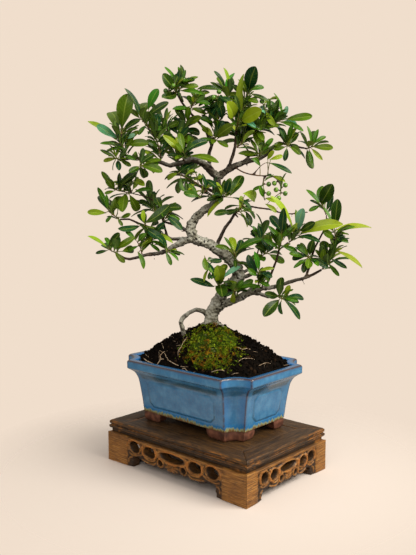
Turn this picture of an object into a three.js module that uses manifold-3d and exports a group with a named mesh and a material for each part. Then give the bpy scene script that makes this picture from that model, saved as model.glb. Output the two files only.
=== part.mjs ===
// Firethorn bonsai in a glazed rectangular pot, on a carved wooden display stand.
// Millimetres, +Z up. X runs along the stand's long side, and the front faces -Y.
import * as THREE from 'three';
import { mergeVertices } from 'three/addons/utils/BufferGeometryUtils.js';
import Module from 'manifold-3d';

const wasm = await Module();
wasm.setup();

// Clear space between touching pieces
const GAP = 0.3;

// Display stand
const BODY_LENGTH = 202.6;
const BODY_DEPTH = 140;
const BODY_HEIGHT = 33;
const APRON_THICKNESS = 11;
const TOP_LENGTH = 201;
const TOP_DEPTH = 138;
const TOP_HEIGHT = 46.4;
const RAIL_WIDTH = 22;
const NECK_INSET = 2.4;
const NECK_WIDTH = 9;
const NECK_TOP = 37.4;
const GROOVE_DEPTH = 6;
const GROOVE_LOW = 39.4;
const GROOVE_HIGH = 42.6;
const PANEL_GAP = 0.5;

// Carving of the aprons: where the foot's inner edge stands, the lower edge's heights, and the pierced
// ovals as [along, height, half width, half height], each with its mirror image
const LONG_CARVING = {
  footInner: 61,
  notchTop: 13,
  lowEdge: 8.8,
  scallops: 4,
  ovals: [[57, 24.5, 7.6, 6.2], [33.5, 23.5, 8.8, 5.4], [17, 16, 3, 3]],
  middleOval: [25, 16.5, 4.4],
};
const SHORT_CARVING = {
  footInner: 43,
  notchTop: 10.2,
  lowEdge: 6.8,
  scallops: 3,
  ovals: [[41, 22.5, 6, 5.4], [25.5, 21.5, 6, 5], [12.5, 13.8, 2.6, 2.6]],
  middleOval: [23.5, 12.5, 3.8],
};

// Pot, as [inset from the rim's outline, height] up the outside, over the rim and down inside
const POT_CENTRE = [-10, 7];
const POT_HALF_LENGTH = 92;
const POT_HALF_DEPTH = 67;
const POT_BASE = 57.4;
const POT_FLOOR = 64;
const RIM_TOP = 117.4;
const OUTER_PROFILE = [[17, POT_BASE], [14.9, 75], [12.6, 90], [10.2, 98.5], [6, 104.6], [1.6, 107.6],
  [0, 109], [0, 116.6], [0.9, RIM_TOP]];
const INNER_PROFILE = [[8, RIM_TOP], [9, 116.4], [10.6, 110], [18.2, 90], [23, POT_FLOOR]];
const CORNER_NOTCH = 22.5;
const NOTCH_SHRINK = 0.45;
const NOTCH_POINTS = 5;
const FOOT_WIDTH = 11;
const FOOT_REACH = [25, 18];
const FOOT_PROFILE = [[20, -6, TOP_HEIGHT + GAP], [18.4, -1.5, 50.5], [18, 0, POT_BASE + 1]];
const DRAIN_RADIUS = 7;
const DRAIN_OFFSET = 36;
const MESH_SIZE = 28;
const MESH_THICKNESS = 0.9;
const MESH_PITCH = 8.4;
const MESH_HOLE = 6.2;

// Soil mound and moss
const SOIL_EDGE = 113.6;
const SOIL_EDGE_INSET = 9.5;
const SOIL_CLEARANCE = 0.35;
const MOUND_RISE = 37;
const MOUND_POWER = 2.3;
const MOUND_REACH = [88, 64];
const COLLAR_RISE = 8;
const COLLAR_RADIUS = 16;
const MOUND_RINGS = [0.95, 0.86, 0.74, 0.6, 0.44, 0.28, 0.14];
const TRUNK_FOOT = new THREE.Vector2(-12.3, 7.8);
const MOSS_CENTRE = [-2, 15];
const MOSS_REACH = [27, 36];
const MOSS_RINGS = [0.38, 0.74, 1];
const MOSS_SPOKES = 13;
const MOSS_THICKNESS = 3.4;
const MOSS_EDGE = 1.1;
const MOSS_SKIRT = 6;

// The tree is set out in its front elevation, as seen from this viewpoint. A place is given as
// [across, height, depth towards the viewer].
const VIEW_AZIMUTH = THREE.MathUtils.degToRad(41.7);
const VIEW_ACROSS = -7.8;
const VIEW_DISTANCE = 765.7;
const VIEW_HEIGHT = 291.2;
const RIGHT = new THREE.Vector3(Math.cos(VIEW_AZIMUTH), Math.sin(VIEW_AZIMUTH), 0);
const TOWARD = new THREE.Vector3(Math.sin(VIEW_AZIMUTH), -Math.cos(VIEW_AZIMUTH), 0);
const UP = new THREE.Vector3(0, 0, 1);

// Foliage. A leaf that looks slimmer than SLIM_LEAF, as length to width, is seen from its edge, and one
// that looks shorter than SHORT_LEAF leans towards the viewer or away.
const SLIM_LEAF = 3.6;
const SHORT_LEAF = 2.4;
const LONGEST_LEAF = 36;
const MOST_TURNED = 2.4;
const LEAST_ROLL = 0.3;
const LEAF_THICKNESS = 0.65;
const LEAF_FOLD = 0.14;
const LEAF_ARCH = 0.07;
const LEAF_CLEARANCE = 0.45;
const GOLDEN_ANGLE = 2.39996;

// Blade widths as [share of the length, share of the width]
const WIDE_LEAF = 8;
const WIDE_STATIONS = [[0.3, 0.6], [0.62, 1], [0.88, 0.64]];
const SLIM_STATIONS = [[0.34, 0.86], [0.74, 0.84]];
const PETIOLE_RADIUS = 0.6;
const LONG_PETIOLE = 3;
const TWIG_SIDES = 4;
const BERRY_RADIUS = 2.7;
const STALK_RADIUS = 0.45;

// How leaves choose the facet of a twig that they grow from
const FACET_LENGTH = 3.2;
const FACETS_TRIED = 16;
const FACING_BONUS = 2.5;
const LEAST_FACING = 0.15;
const SHARED_VOLUMES = [0.001, 0.03];

const group = new THREE.Group();

function addNode(name, solid, color, roughness) {
  const material = new THREE.MeshStandardMaterial({ color, roughness, metalness: 0 });
  const mesh = new THREE.Mesh(toGeometry(solid), material);
  mesh.name = name;
  group.add(mesh);
}

// Solids

function toSolid(geometry) {
  const bare = geometry.clone();
  bare.deleteAttribute('normal');
  bare.deleteAttribute('uv');
  const merged = mergeVertices(bare, 1e-4);
  return new wasm.Manifold(new wasm.Mesh({
    numProp: 3,
    vertProperties: Float32Array.from(merged.attributes.position.array),
    triVerts: Uint32Array.from(merged.index.array),
  }));
}

function toGeometry(solid) {
  const mesh = solid.getMesh();
  const geometry = new THREE.BufferGeometry();
  geometry.setAttribute('position', new THREE.BufferAttribute(new Float32Array(mesh.vertProperties), 3));
  geometry.setIndex(new THREE.BufferAttribute(new Uint32Array(mesh.triVerts), 1));
  geometry.computeVertexNormals();
  return geometry;
}

function join(solids) {
  return solids.reduce((whole, piece) => whole.add(piece));
}

function largestPiece(solid) {
  return solid.decompose().reduce((best, piece) => (piece.volume() > best.volume() ? piece : best));
}

// The two halves of a wall between four corners, split along the diagonal that stands further out, so that
// a thin twisted blade doesn't cross itself
function splitWall(corners, points) {
  const [a, b, c, d] = corners;
  const [pa, pb, pc, pd] = corners.map((i) => points[i]);
  const outward = pb.clone().sub(pa).cross(pc.clone().sub(pa));
  return outward.dot(pd.clone().sub(pa)) < 0 ? [[a, b, c], [a, c, d]] : [[a, b, d], [b, c, d]];
}

// A skin over rings of equal count, each counter-clockwise about the way they follow one another. The ends
// are closed by the triangles of a flat outline or by a fan, or the far end runs to a point.
function loft(rings, { outline = null, tip = null, bulging = false } = {}) {
  const count = rings[0].length;
  const points = rings.flat();
  const positions = points.flatMap((p) => [p.x, p.y, p.z]);
  const index = [];
  for (let r = 0; r < rings.length - 1; r += 1) {
    for (let i = 0; i < count; i += 1) {
      const a = r * count + i;
      const b = r * count + (i + 1) % count;
      if (bulging) index.push(...splitWall([a, b, b + count, a + count], points).flat());
      else index.push(a, b, b + count, a, b + count, a + count);
    }
  }
  const cap = outline
    ? THREE.ShapeUtils.triangulateShape(outline, [])
    : Array.from({ length: count - 2 }, (_, i) => [0, i + 1, i + 2]);
  for (const [a, b, c] of cap) index.push(a, c, b);
  const last = (rings.length - 1) * count;
  if (tip) {
    const apex = positions.length / 3;
    positions.push(tip.x, tip.y, tip.z);
    for (let i = 0; i < count; i += 1) index.push(last + i, last + (i + 1) % count, apex);
  } else {
    for (const [a, b, c] of cap) index.push(last + a, last + b, last + c);
  }
  const geometry = new THREE.BufferGeometry();
  geometry.setAttribute('position', new THREE.Float32BufferAttribute(positions, 3));
  geometry.setIndex(index);
  return toSolid(geometry);
}

function block(width, depth, low, high) {
  return toSolid(new THREE.BoxGeometry(width, depth, high - low).translate(0, 0, (low + high) / 2));
}

// Even random numbers from 0 to 1, the same on every run
function randomFrom(seed) {
  let state = seed;
  return () => {
    state = (state * 16807) % 2147483647;
    return state / 2147483647;
  };
}

// Stand: carved aprons with a foot at either end

function ovalPath(along, height, halfWidth, halfHeight, points = 8) {
  const path = new THREE.Path();
  for (let i = 0; i < points; i += 1) {
    const angle = (2 * Math.PI * (i + 0.5)) / points;
    const place = [along + halfWidth * Math.cos(angle), height + halfHeight * Math.sin(angle)];
    if (i === 0) path.moveTo(...place);
    else path.lineTo(...place);
  }
  path.closePath();
  return path;
}

// Lower edge from the middle out to the floor at the foot: scallops, a raised notch and a small hook
function lowerEdge({ footInner, notchTop, lowEdge, scallops }) {
  const reach = footInner - 15;
  const edge = [];
  for (let i = 0; i < scallops; i += 1) {
    edge.push([(reach * (i + 0.5)) / scallops, lowEdge]);
    if (i < scallops - 1) edge.push([(reach * (i + 1)) / scallops, lowEdge + 1.4]);
  }
  edge.push([reach + 2, lowEdge + 2.2], [reach + 5, notchTop], [footInner - 2.5, notchTop]);
  edge.push([footInner + 0.6, notchTop - 3], [footInner - 1, 6], [footInner + 0.6, 4.4], [footInner, 0]);
  return edge;
}

function apron(carving, length, outerFace) {
  const half = length / 2 - GAP * Math.SQRT1_2;
  const edge = lowerEdge(carving);
  const mirrored = edge.map(([along, height]) => [-along, height]).reverse();
  const points = [[-half, 0], ...mirrored, ...edge, [half, 0], [half, BODY_HEIGHT], [-half, BODY_HEIGHT]];
  const shape = new THREE.Shape(points.map(([along, height]) => new THREE.Vector2(along, height)));
  for (const [along, ...rest] of carving.ovals) {
    shape.holes.push(ovalPath(along, ...rest), ovalPath(-along, ...rest));
  }
  const [middleHeight, middleWidth, middleRise] = carving.middleOval;
  shape.holes.push(ovalPath(0, middleHeight, middleWidth, middleRise, 10));
  const geometry = new THREE.ExtrudeGeometry(shape, { depth: APRON_THICKNESS, bevelEnabled: false });
  const position = geometry.attributes.position;
  for (let i = 0; i < position.count; i += 1) {
    const along = position.getX(i);
    const inward = APRON_THICKNESS - position.getZ(i);
    const isEnd = Math.abs(along) > half - 0.01;
    const mitred = isEnd ? Math.sign(along) * (half - inward) : along;
    position.setXYZ(i, mitred, inward - outerFace, position.getY(i));
  }
  return geometry;
}

// Stand: top rails, mitred at the corners, with two beads outside and a groove for the panel

const RAIL_SECTION = [
  [NECK_INSET, BODY_HEIGHT + GAP], [NECK_INSET + NECK_WIDTH, BODY_HEIGHT + GAP],
  [NECK_INSET + NECK_WIDTH, NECK_TOP], [RAIL_WIDTH, NECK_TOP], [RAIL_WIDTH, GROOVE_LOW],
  [RAIL_WIDTH - GROOVE_DEPTH, GROOVE_LOW], [RAIL_WIDTH - GROOVE_DEPTH, GROOVE_HIGH],
  [RAIL_WIDTH, GROOVE_HIGH], [RAIL_WIDTH, TOP_HEIGHT], [1.3, TOP_HEIGHT], [0.2, 45.3], [0.2, 42.9],
  [1.4, 42.2], [1.4, 41.5], [0, 40.8], [0, 38.5], [1, NECK_TOP], [NECK_INSET, NECK_TOP],
];

function rail(length, outerFace) {
  const half = length / 2 - GAP * Math.SQRT1_2;
  const ends = [-1, 1].map((sign) => RAIL_SECTION.map(
    ([inward, height]) => new THREE.Vector3(sign * (half - inward), inward - outerFace, height),
  ));
  const outline = RAIL_SECTION.map(([inward, height]) => new THREE.Vector2(inward, height));
  return toGeometry(loft(ends, { outline }));
}

function buildStand() {
  const sides = [
    ['front', 0, LONG_CARVING, BODY_LENGTH, BODY_DEPTH, TOP_LENGTH, TOP_DEPTH],
    ['right', 1, SHORT_CARVING, BODY_DEPTH, BODY_LENGTH, TOP_DEPTH, TOP_LENGTH],
    ['back', 2, LONG_CARVING, BODY_LENGTH, BODY_DEPTH, TOP_LENGTH, TOP_DEPTH],
    ['left', 3, SHORT_CARVING, BODY_DEPTH, BODY_LENGTH, TOP_DEPTH, TOP_LENGTH],
  ];
  for (const [name, turns, carving, length, depth, topLength, topDepth] of sides) {
    const angle = (turns * Math.PI) / 2;
    const board = apron(carving, length, depth / 2).rotateZ(angle);
    addNode(`apron_${name}`, toSolid(board), 0x96683a, 0.6);
    const moulding = rail(topLength, topDepth / 2).rotateZ(angle);
    addNode(`top_rail_${name}`, toSolid(moulding), 0x5a4028, 0.5);
  }
  const panelLength = TOP_LENGTH - 2 * (RAIL_WIDTH + PANEL_GAP);
  const panelDepth = TOP_DEPTH - 2 * (RAIL_WIDTH + PANEL_GAP);
  const tongue = 2 * (GROOVE_DEPTH - PANEL_GAP);
  const board = block(panelLength, panelDepth, NECK_TOP + 1, TOP_HEIGHT - GAP);
  const lip = block(panelLength + tongue, panelDepth + tongue, GROOVE_LOW + GAP, GROOVE_HIGH - GAP);
  addNode('top_panel', board.add(lip), 0x5a4028, 0.5);
}

// Pot: a rectangle with a hollow quarter-round notch at each corner, counter-clockwise from the front right
// corner, with further points spread along the sides where they are asked for

function potOutline(inset, alongLength = 0, alongDepth = 0) {
  const halfLength = POT_HALF_LENGTH - inset;
  const halfDepth = POT_HALF_DEPTH - inset;
  const notch = CORNER_NOTCH - NOTCH_SHRINK * inset;
  const corners = [[1, -1], [1, 1], [-1, 1], [-1, -1]];
  const points = [];
  corners.forEach(([signX, signY], corner) => {
    for (let i = 0; i < NOTCH_POINTS; i += 1) {
      const step = signX * signY < 0 ? i : NOTCH_POINTS - 1 - i;
      const angle = (Math.PI / 2) * (step / (NOTCH_POINTS - 1));
      points.push(new THREE.Vector2(
        signX * (halfLength - notch * Math.cos(angle)),
        signY * (halfDepth - notch * Math.sin(angle)),
      ));
    }
    const extra = corner % 2 === 0 ? alongDepth : alongLength;
    const from = points[points.length - 1];
    const to = corner % 2 === 0
      ? new THREE.Vector2(from.x, -from.y)
      : new THREE.Vector2(-from.x, from.y);
    for (let i = 1; i <= extra; i += 1) points.push(from.clone().lerp(to, i / (extra + 1)));
  });
  return points;
}

function potRing(inset, height, ...extra) {
  return potOutline(inset, ...extra).map(
    (p) => new THREE.Vector3(p.x + POT_CENTRE[0], p.y + POT_CENTRE[1], height),
  );
}

// One corner foot: it follows the notch and runs a little way along both sides, narrower at the floor
function potFoot(signX, signY) {
  const rings = FOOT_PROFILE.map(([inset, lengthen, height]) => {
    const halfLength = POT_HALF_LENGTH - inset;
    const halfDepth = POT_HALF_DEPTH - inset;
    const notch = CORNER_NOTCH - NOTCH_SHRINK * inset;
    const inner = notch + FOOT_WIDTH;
    const startAngle = Math.asin(FOOT_WIDTH / inner);
    const plan = [[halfLength - notch - FOOT_REACH[0] - lengthen, -halfDepth]];
    for (let i = 0; i < NOTCH_POINTS; i += 1) {
      const angle = (Math.PI / 2) * (i / (NOTCH_POINTS - 1));
      plan.push([halfLength - notch * Math.cos(angle), -halfDepth + notch * Math.sin(angle)]);
    }
    const sideEnd = -halfDepth + notch + FOOT_REACH[1] + lengthen;
    plan.push([halfLength, sideEnd], [halfLength - FOOT_WIDTH, sideEnd]);
    for (const angle of [Math.PI / 2 - startAngle, Math.PI / 4, startAngle]) {
      plan.push([halfLength - inner * Math.cos(angle), -halfDepth + inner * Math.sin(angle)]);
    }
    plan.push([halfLength - notch - FOOT_REACH[0] - lengthen, -halfDepth + FOOT_WIDTH]);
    const ring = plan.map(([x, y]) => new THREE.Vector3(
      signX * x + POT_CENTRE[0], -signY * y + POT_CENTRE[1], height,
    ));
    return signX * signY < 0 ? ring : ring.reverse();
  });
  const outline = rings[0].map((p) => new THREE.Vector2(p.x, p.y));
  return loft(rings, { outline });
}

function buildPot() {
  const rings = [...OUTER_PROFILE, ...INNER_PROFILE].map(([inset, height]) => potRing(inset, height));
  const feet = [[1, -1], [1, 1], [-1, 1], [-1, -1]].map(([x, y]) => potFoot(x, y));
  let pot = join([loft(rings, { outline: potOutline(0) }), ...feet]);
  for (const sign of [-1, 1]) {
    const x = POT_CENTRE[0] + sign * DRAIN_OFFSET;
    const hole = new THREE.CylinderGeometry(DRAIN_RADIUS, DRAIN_RADIUS, 20, 12).rotateX(Math.PI / 2);
    pot = pot.subtract(toSolid(hole.translate(x, POT_CENTRE[1], POT_BASE)));
    addNode(sign < 0 ? 'drain_mesh_left' : 'drain_mesh_right', drainMesh(x), 0x20242a, 0.6);
  }
  addNode('pot', pot, 0x5c8fb8, 0.25);
}

function drainMesh(x) {
  let plate = block(MESH_SIZE, MESH_SIZE, 0, MESH_THICKNESS);
  for (const column of [-1, 0, 1]) {
    for (const row of [-1, 0, 1]) {
      const hole = block(MESH_HOLE, MESH_HOLE, -1, MESH_THICKNESS + 1);
      plate = plate.subtract(hole.translate([column * MESH_PITCH, row * MESH_PITCH, 0]));
    }
  }
  return plate.translate([x, POT_CENTRE[1], POT_FLOOR + GAP]);
}

// Soil: how far from the trunk's foot the pot's rim is in a direction, and the mound's height at a place

const MOUND_OUTLINE = potOutline(SOIL_EDGE_INSET)
  .map((p) => p.add(new THREE.Vector2(...POT_CENTRE)).sub(TRUNK_FOOT));

function edgeDistance(angle) {
  const direction = new THREE.Vector2(Math.cos(angle), Math.sin(angle));
  let distance = 0;
  MOUND_OUTLINE.forEach((from, i) => {
    const to = MOUND_OUTLINE[(i + 1) % MOUND_OUTLINE.length];
    const span = to.clone().sub(from);
    const spread = direction.cross(span);
    const along = from.cross(span) / spread;
    const share = from.cross(direction) / spread;
    if (along > 0 && share > -1e-9 && share < 1 + 1e-9) distance = Math.max(distance, along);
  });
  return distance;
}

function lumps(x, y) {
  return 0.9 * Math.sin(0.37 * x + 0.9) * Math.sin(0.31 * y - 0.4)
    + 0.7 * Math.sin(0.71 * x + 0.53 * y) + 0.5 * Math.sin(0.47 * x - 0.83 * y + 1.7);
}

// The mound is round near the tree and takes the rim's shape towards its edge
function moundHeight(x, y) {
  const offset = new THREE.Vector2(x, y).sub(TRUNK_FOOT);
  const distance = offset.length();
  const share = Math.min(distance / edgeDistance(offset.angle()), 1);
  const round = Math.hypot(offset.x / MOUND_REACH[0], offset.y / MOUND_REACH[1]);
  const blended = THREE.MathUtils.lerp(Math.min(round, 1), share, share ** 3);
  const collar = COLLAR_RISE * Math.exp(-((distance / COLLAR_RADIUS) ** 2));
  return SOIL_EDGE + MOUND_RISE * (1 - blended ** MOUND_POWER) + collar + lumps(x, y) * (1 - share ** 8);
}

function buildSoil() {
  const extra = [3, 2];
  const fill = INNER_PROFILE.slice(2).reverse().map(([inset, height]) => [inset + SOIL_CLEARANCE, height]);
  fill[0][1] = POT_FLOOR + GAP;
  const rings = fill.map(([inset, height]) => potRing(inset, height, ...extra));
  const edge = potRing(SOIL_EDGE_INSET + SOIL_CLEARANCE, SOIL_EDGE, ...extra);
  rings.push(edge);
  for (const share of MOUND_RINGS) {
    rings.push(edge.map((p) => {
      const x = TRUNK_FOOT.x + share * (p.x - TRUNK_FOOT.x);
      const y = TRUNK_FOOT.y + share * (p.y - TRUNK_FOOT.y);
      return new THREE.Vector3(x, y, moundHeight(x, y));
    }));
  }
  const peak = new THREE.Vector3(TRUNK_FOOT.x, TRUNK_FOOT.y, moundHeight(TRUNK_FOOT.x, TRUNK_FOOT.y));
  let soil = loft(rings, { outline: potOutline(0, ...extra), tip: peak });
  for (const sign of [-1, 1]) {
    const side = MESH_SIZE + 2 * GAP;
    const room = block(side, side, POT_FLOOR, POT_FLOOR + 2 * GAP + MESH_THICKNESS);
    soil = soil.subtract(room.translate([POT_CENTRE[0] + sign * DRAIN_OFFSET, POT_CENTRE[1], 0]));
  }
  return soil;
}

function buildMoss(soil) {
  const spot = (angle, share) => {
    const across = MOSS_CENTRE[0] + MOSS_REACH[0] * share * Math.cos(angle);
    const depth = MOSS_CENTRE[1] + MOSS_REACH[1] * share * Math.sin(angle);
    return new THREE.Vector3().addScaledVector(RIGHT, across).addScaledVector(TOWARD, depth);
  };
  const ring = (share, rise) => Array.from({ length: MOSS_SPOKES }, (_, i) => {
    const angle = (-2 * Math.PI * i) / MOSS_SPOKES;
    const uneven = share * (1 + 0.07 * Math.sin(3 * angle + 1) + 0.05 * Math.sin(5 * angle));
    const p = spot(angle, uneven);
    p.z = moundHeight(p.x, p.y) + rise + 0.7 * lumps(1.9 * p.x, 2.1 * p.y);
    return p;
  });
  const rings = [ring(1, -MOSS_SKIRT)];
  for (const share of MOSS_RINGS.slice().reverse()) {
    rings.push(ring(share, MOSS_EDGE + (MOSS_THICKNESS - MOSS_EDGE) * (1 - share ** 2)));
  }
  const top = spot(0, 0);
  top.z = moundHeight(top.x, top.y) + MOSS_THICKNESS;
  const outline = rings[0].map((p) => new THREE.Vector2(p.x, p.y));
  return largestPiece(loft(rings, { outline, tip: top }).subtract(soil.translate([0, 0, GAP + 0.1])));
}

// Tree

function place(across, height, depth) {
  const shrink = (VIEW_DISTANCE - depth) / VIEW_DISTANCE;
  return new THREE.Vector3()
    .addScaledVector(RIGHT, VIEW_ACROSS + (across - VIEW_ACROSS) * shrink)
    .addScaledVector(TOWARD, depth)
    .setZ(VIEW_HEIGHT + (height - VIEW_HEIGHT) * shrink);
}

function limbCurve(stations) {
  return new THREE.CatmullRomCurve3(stations.map((s) => place(...s)), false, 'centripetal');
}

// Rings of a tapering round limb through its stations. The radii are one for each station, or only the
// first and last. A knobbly limb swells and hollows by that share of its radius.
function limbRings(stations, radii, { sides = 6, rings = stations.length, knobbly = 0, grow = 0 } = {}) {
  const curve = limbCurve(stations);
  let normal = new THREE.Vector3(0.3, 0.9, 0.2);
  return Array.from({ length: rings }, (_, k) => {
    const t = k / (rings - 1);
    const centre = curve.getPoint(t);
    const along = curve.getTangent(t);
    if (k === 0) centre.addScaledVector(along, -grow);
    if (k === rings - 1) centre.addScaledVector(along, grow);
    normal = normal.clone().addScaledVector(along, -normal.dot(along)).normalize();
    const side = along.clone().cross(normal);
    const span = t * (radii.length - 1);
    const low = Math.min(Math.floor(span), radii.length - 2);
    const radius = THREE.MathUtils.lerp(radii[low], radii[low + 1], span - low) + grow;
    return Array.from({ length: sides }, (_unused, i) => {
      const angle = (2 * Math.PI * i) / sides;
      const swell = (knobbly * (Math.sin(2 * angle + 1.9 * k) + Math.sin(3 * angle - 1.3 * k))) / 2;
      const reach = radius * (1 + swell);
      return centre.clone()
        .addScaledVector(normal, reach * Math.cos(angle))
        .addScaledVector(side, reach * Math.sin(angle));
    });
  });
}

function limb(stations, radii, style) {
  return loft(limbRings(stations, radii, style));
}

// Woody limbs: stations, radii and how they are drawn
const TRUNK = [
  [[-7, 132, -14], [-7, 150, -14], [-5, 160, -14], [-4, 168, -14], [-1, 176, -13], [3, 185, -12],
    [8, 194, -10], [14, 202, -8], [21, 207, -6], [25, 214, -4], [23, 223, -2], [17, 231, 0], [9, 238, 1],
    [0, 244, 2], [-9, 249, 3], [-18, 252, 4], [-25, 257, 5], [-27, 266, 5], [-23, 275, 4], [-13, 284, 1],
    [-2, 291, -2], [3, 300, -4], [3, 310, -5], [2, 318, -6], [2, 326, -6]],
  [9, 11, 9.4, 7.8, 7.2, 7.1, 6.8, 6.6, 6.4, 6.3, 6.2, 6, 5.8, 5.6, 5.4, 5.6, 6.2, 5, 4.7, 4.5, 4.4, 4, 3.8,
    3.9, 4.2],
  { sides: 9, rings: 30, knobbly: 0.14 },
];

const MAIN_LIMBS = [
  // Exposed root, arching out of the trunk's foot and down into the soil on the left
  [[[-5, 168, -13], [-13, 174, -10], [-21, 176, -6], [-29, 172, -3], [-35, 167, -1], [-38, 162, 0],
    [-36, 155, 0], [-34, 145, -2]], [3.6, 2.9, 2.6, 2.5, 2.7, 3, 2.9, 2.2], { knobbly: 0.12 }],
  // Surface root towards the right
  [[[0, 160, -12], [8, 155, -6], [15, 148, 0], [20, 140, 4]], [4.5, 3.4, 2.6, 2]],
  // Left arm of the crown
  [[[3, 320, -6], [-8, 331, -3], [-16, 337, 1], [-24, 340, 4], [-36, 336, 8], [-50, 333, 12],
    [-60, 337, 14], [-72, 340, 16], [-86, 341, 18], [-103, 339, 20]], [4.8, 4.2, 3.8, 3.4, 3, 2.7, 2.4, 2.1,
    1.8, 1.4], { knobbly: 0.1, rings: 12 }],
  // Right arm of the crown
  [[[1, 320, -6], [10, 326, -6], [18, 331, -7], [28, 335, -8], [40, 339, -10], [52, 342, -12],
  [60, 350, -13],
    [66, 357, -14], [76, 356, -14], [88, 353, -13], [99, 351, -12]],
    [4.6, 4, 3.6, 3.2, 2.9, 2.6, 2.3, 2, 1.7,
    1.4, 1.1], { knobbly: 0.1, rings: 12 }],
  // Upright leader in the middle of the crown
  [[[-6, 329, -4], [-7, 345, -5], [-3, 357, -6], [-2, 364, -6]], [2.6, 1.6], { sides: 5 }],
  // Leader to the top left
  [[[-4, 355, -6], [-10, 370, -4], [-20, 382, -2], [-29, 391, 0], [-36, 400, 1], [-41, 409, 2]], [1.9, 1.2],
    { sides: 5 }],
  // Upright leader right of the middle, up to the crown's top
  [[[13, 328, -6], [17, 338, -4], [20, 347, -2], [22, 358, 0], [22, 370, 1], [24, 380, 2], [20, 391, 0],
    [15, 401, -2]], [2.5, 2.1, 1.9, 1.7, 1.5, 1.4, 1.2, 1], { sides: 5, rings: 9 }],
  // Limb in front of the upper trunk, with the long thin branch to the right
  [[[0, 243, 2], [6, 256, 6], [12, 268, 9], [18, 275, 11], [23, 284, 12], [31, 290, 12], [41, 288, 12],
    [55, 287, 12], [68, 283, 12], [80, 281, 12], [101, 283, 12]],
    [2.6, 2.2, 2, 1.9, 1.7, 1.4, 1.2, 1.2, 1.1,
    1, 0.9], { sides: 5, rings: 12 }],
  // Lower left branch
  [[[-22, 255, 5], [-35, 250, 8], [-45, 246, 10], [-52, 241, 12], [-62, 238, 14], [-78, 236, 16],
    [-90, 232, 18], [-98, 232, 18], [-106, 237, 18]], [4.4, 3.6, 3.2, 2.8, 2.4, 2, 1.7, 1.5, 1.2],
    { knobbly: 0.1, rings: 11 }],
  // Branch above it
  [[[-30, 254, 6], [-50, 254, 6], [-62, 261, 5], [-70, 266, 4], [-80, 269, 3], [-92, 275, 3],
    [-104, 275, 3]], [2.4, 2, 1.8, 1.6, 1.4, 1.3, 1.1], { sides: 5, rings: 8 }],
  // Thin riser on the left
  [[[-52, 255, 6], [-56, 270, 4], [-59, 284, 2], [-64, 294, -1], [-76, 300, -3], [-90, 303, -5]],
  [1.5, 0.9],
    { sides: 5 }],
  // Lower right branch with its knob, and the long one that goes on
  [[[4, 178, -12], [14, 184, -6], [24, 187, 0], [33, 192, 5], [40, 196, 8], [48, 199, 10], [60, 200, 11],
    [73, 203, 12], [86, 208, 14], [96, 210, 15], [106, 214, 16], [117, 220, 17]],
    [5.2, 4.7, 4.3, 4.1, 4.5, 3, 2.6, 2.3, 2.1, 1.9, 1.7, 1.4], { knobbly: 0.1, rings: 14 }],
  [[[40, 195, 8], [50, 193, 11], [58, 190, 13], [70, 191, 16], [82, 190, 18]], [3, 2.4, 2, 1.6, 1.1],
    { sides: 5 }],
  // Risers of the lower right foliage
  [[[55, 199, 10], [61, 214, 14], [67, 230, 18], [70, 242, 20], [80, 250, 22]], [1.7, 1.1], { sides: 5 }],
  [[[99, 211, 15], [103, 222, 14], [105, 232, 12], [109, 244, 10], [115, 256, 8], [121, 268, 6],
    [121, 280, 5]], [1.7, 1.5, 1.4, 1.3, 1.2, 1.1, 0.9], { sides: 5 }],
  // Old stub behind the bend, with a thin riser
  [[[21, 208, -5], [32, 212, -8], [40, 215, -11], [46, 226, -8], [52, 236, -4]], [3.2, 2.8, 2.3, 1.4, 1.1],
    { sides: 5 }],
  // Branches at the back
  [[[2, 303, -5], [-8, 308, -26], [-18, 312, -46], [-26, 318, -64]], [2.6, 2, 1.6, 1.1], { sides: 4 }],
  [[[28, 335, -8], [36, 342, -30], [36, 348, -50], [30, 356, -66]], [2.3, 1.8, 1.4, 1], { sides: 4 }],
  [[[-24, 340, 4], [-36, 350, -18], [-46, 356, -38], [-50, 366, -54]], [2.3, 1.8, 1.4, 1], { sides: 4 }],
  [[[24, 213, -5], [36, 220, -26], [44, 230, -46], [48, 244, -62]], [2.8, 2.1, 1.6, 1.1], { sides: 4 }],
  [[[-26, 260, 4], [-40, 268, -18], [-54, 272, -38], [-64, 282, -54]], [2.8, 2.1, 1.6, 1.1], { sides: 4 }],
];

const DEADWOOD = [
  [[[-20, 261, 5], [-28, 263, 9], [-37, 262, 12]], [2.4, 0.7], { sides: 5 }],
  [[[21, 282, 12], [25, 277, 16]], [1.5, 0.9], { sides: 5 }],
  [[[51, 197, 11], [53, 208, 17]], [1.3, 0.9], { sides: 5 }],
];

// Thorns, from the twig to the point
const THORNS = [
  [[-18, 262, 5], [-12, 257, 9]], [[-28, 389, 0], [-19, 395, 2]], [[95, 210, 15], [101, 199, 18]],
  [[-67, 238, 15], [-66, 228, 18]], [[66, 284, 12], [70, 293, 15]], [[84, 282, 12], [83, 273, 15]],
  [[-76, 339, 16], [-80, 349, 19]], [[34, 337, -9], [35, 328, -6]], [[22, 362, 0], [30, 366, 3]],
  [[107, 238, 11], [99, 244, 13]], [[-84, 271, 3], [-88, 262, 6]], [[66, 201, 12], [64, 193, 16]],
];

function thorn([from, to], grow) {
  return limb([from, to], [1, 0.15], { sides: 3, grow });
}

function buildWood(grow) {
  const limbs = [TRUNK, ...MAIN_LIMBS, ...DEADWOOD];
  const solids = limbs.map(([stations, radii, style = {}]) => limb(stations, radii, { ...style, grow }));
  solids.push(...THORNS.map((stations) => thorn(stations, grow)));
  return largestPiece(join(solids));
}

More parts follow.
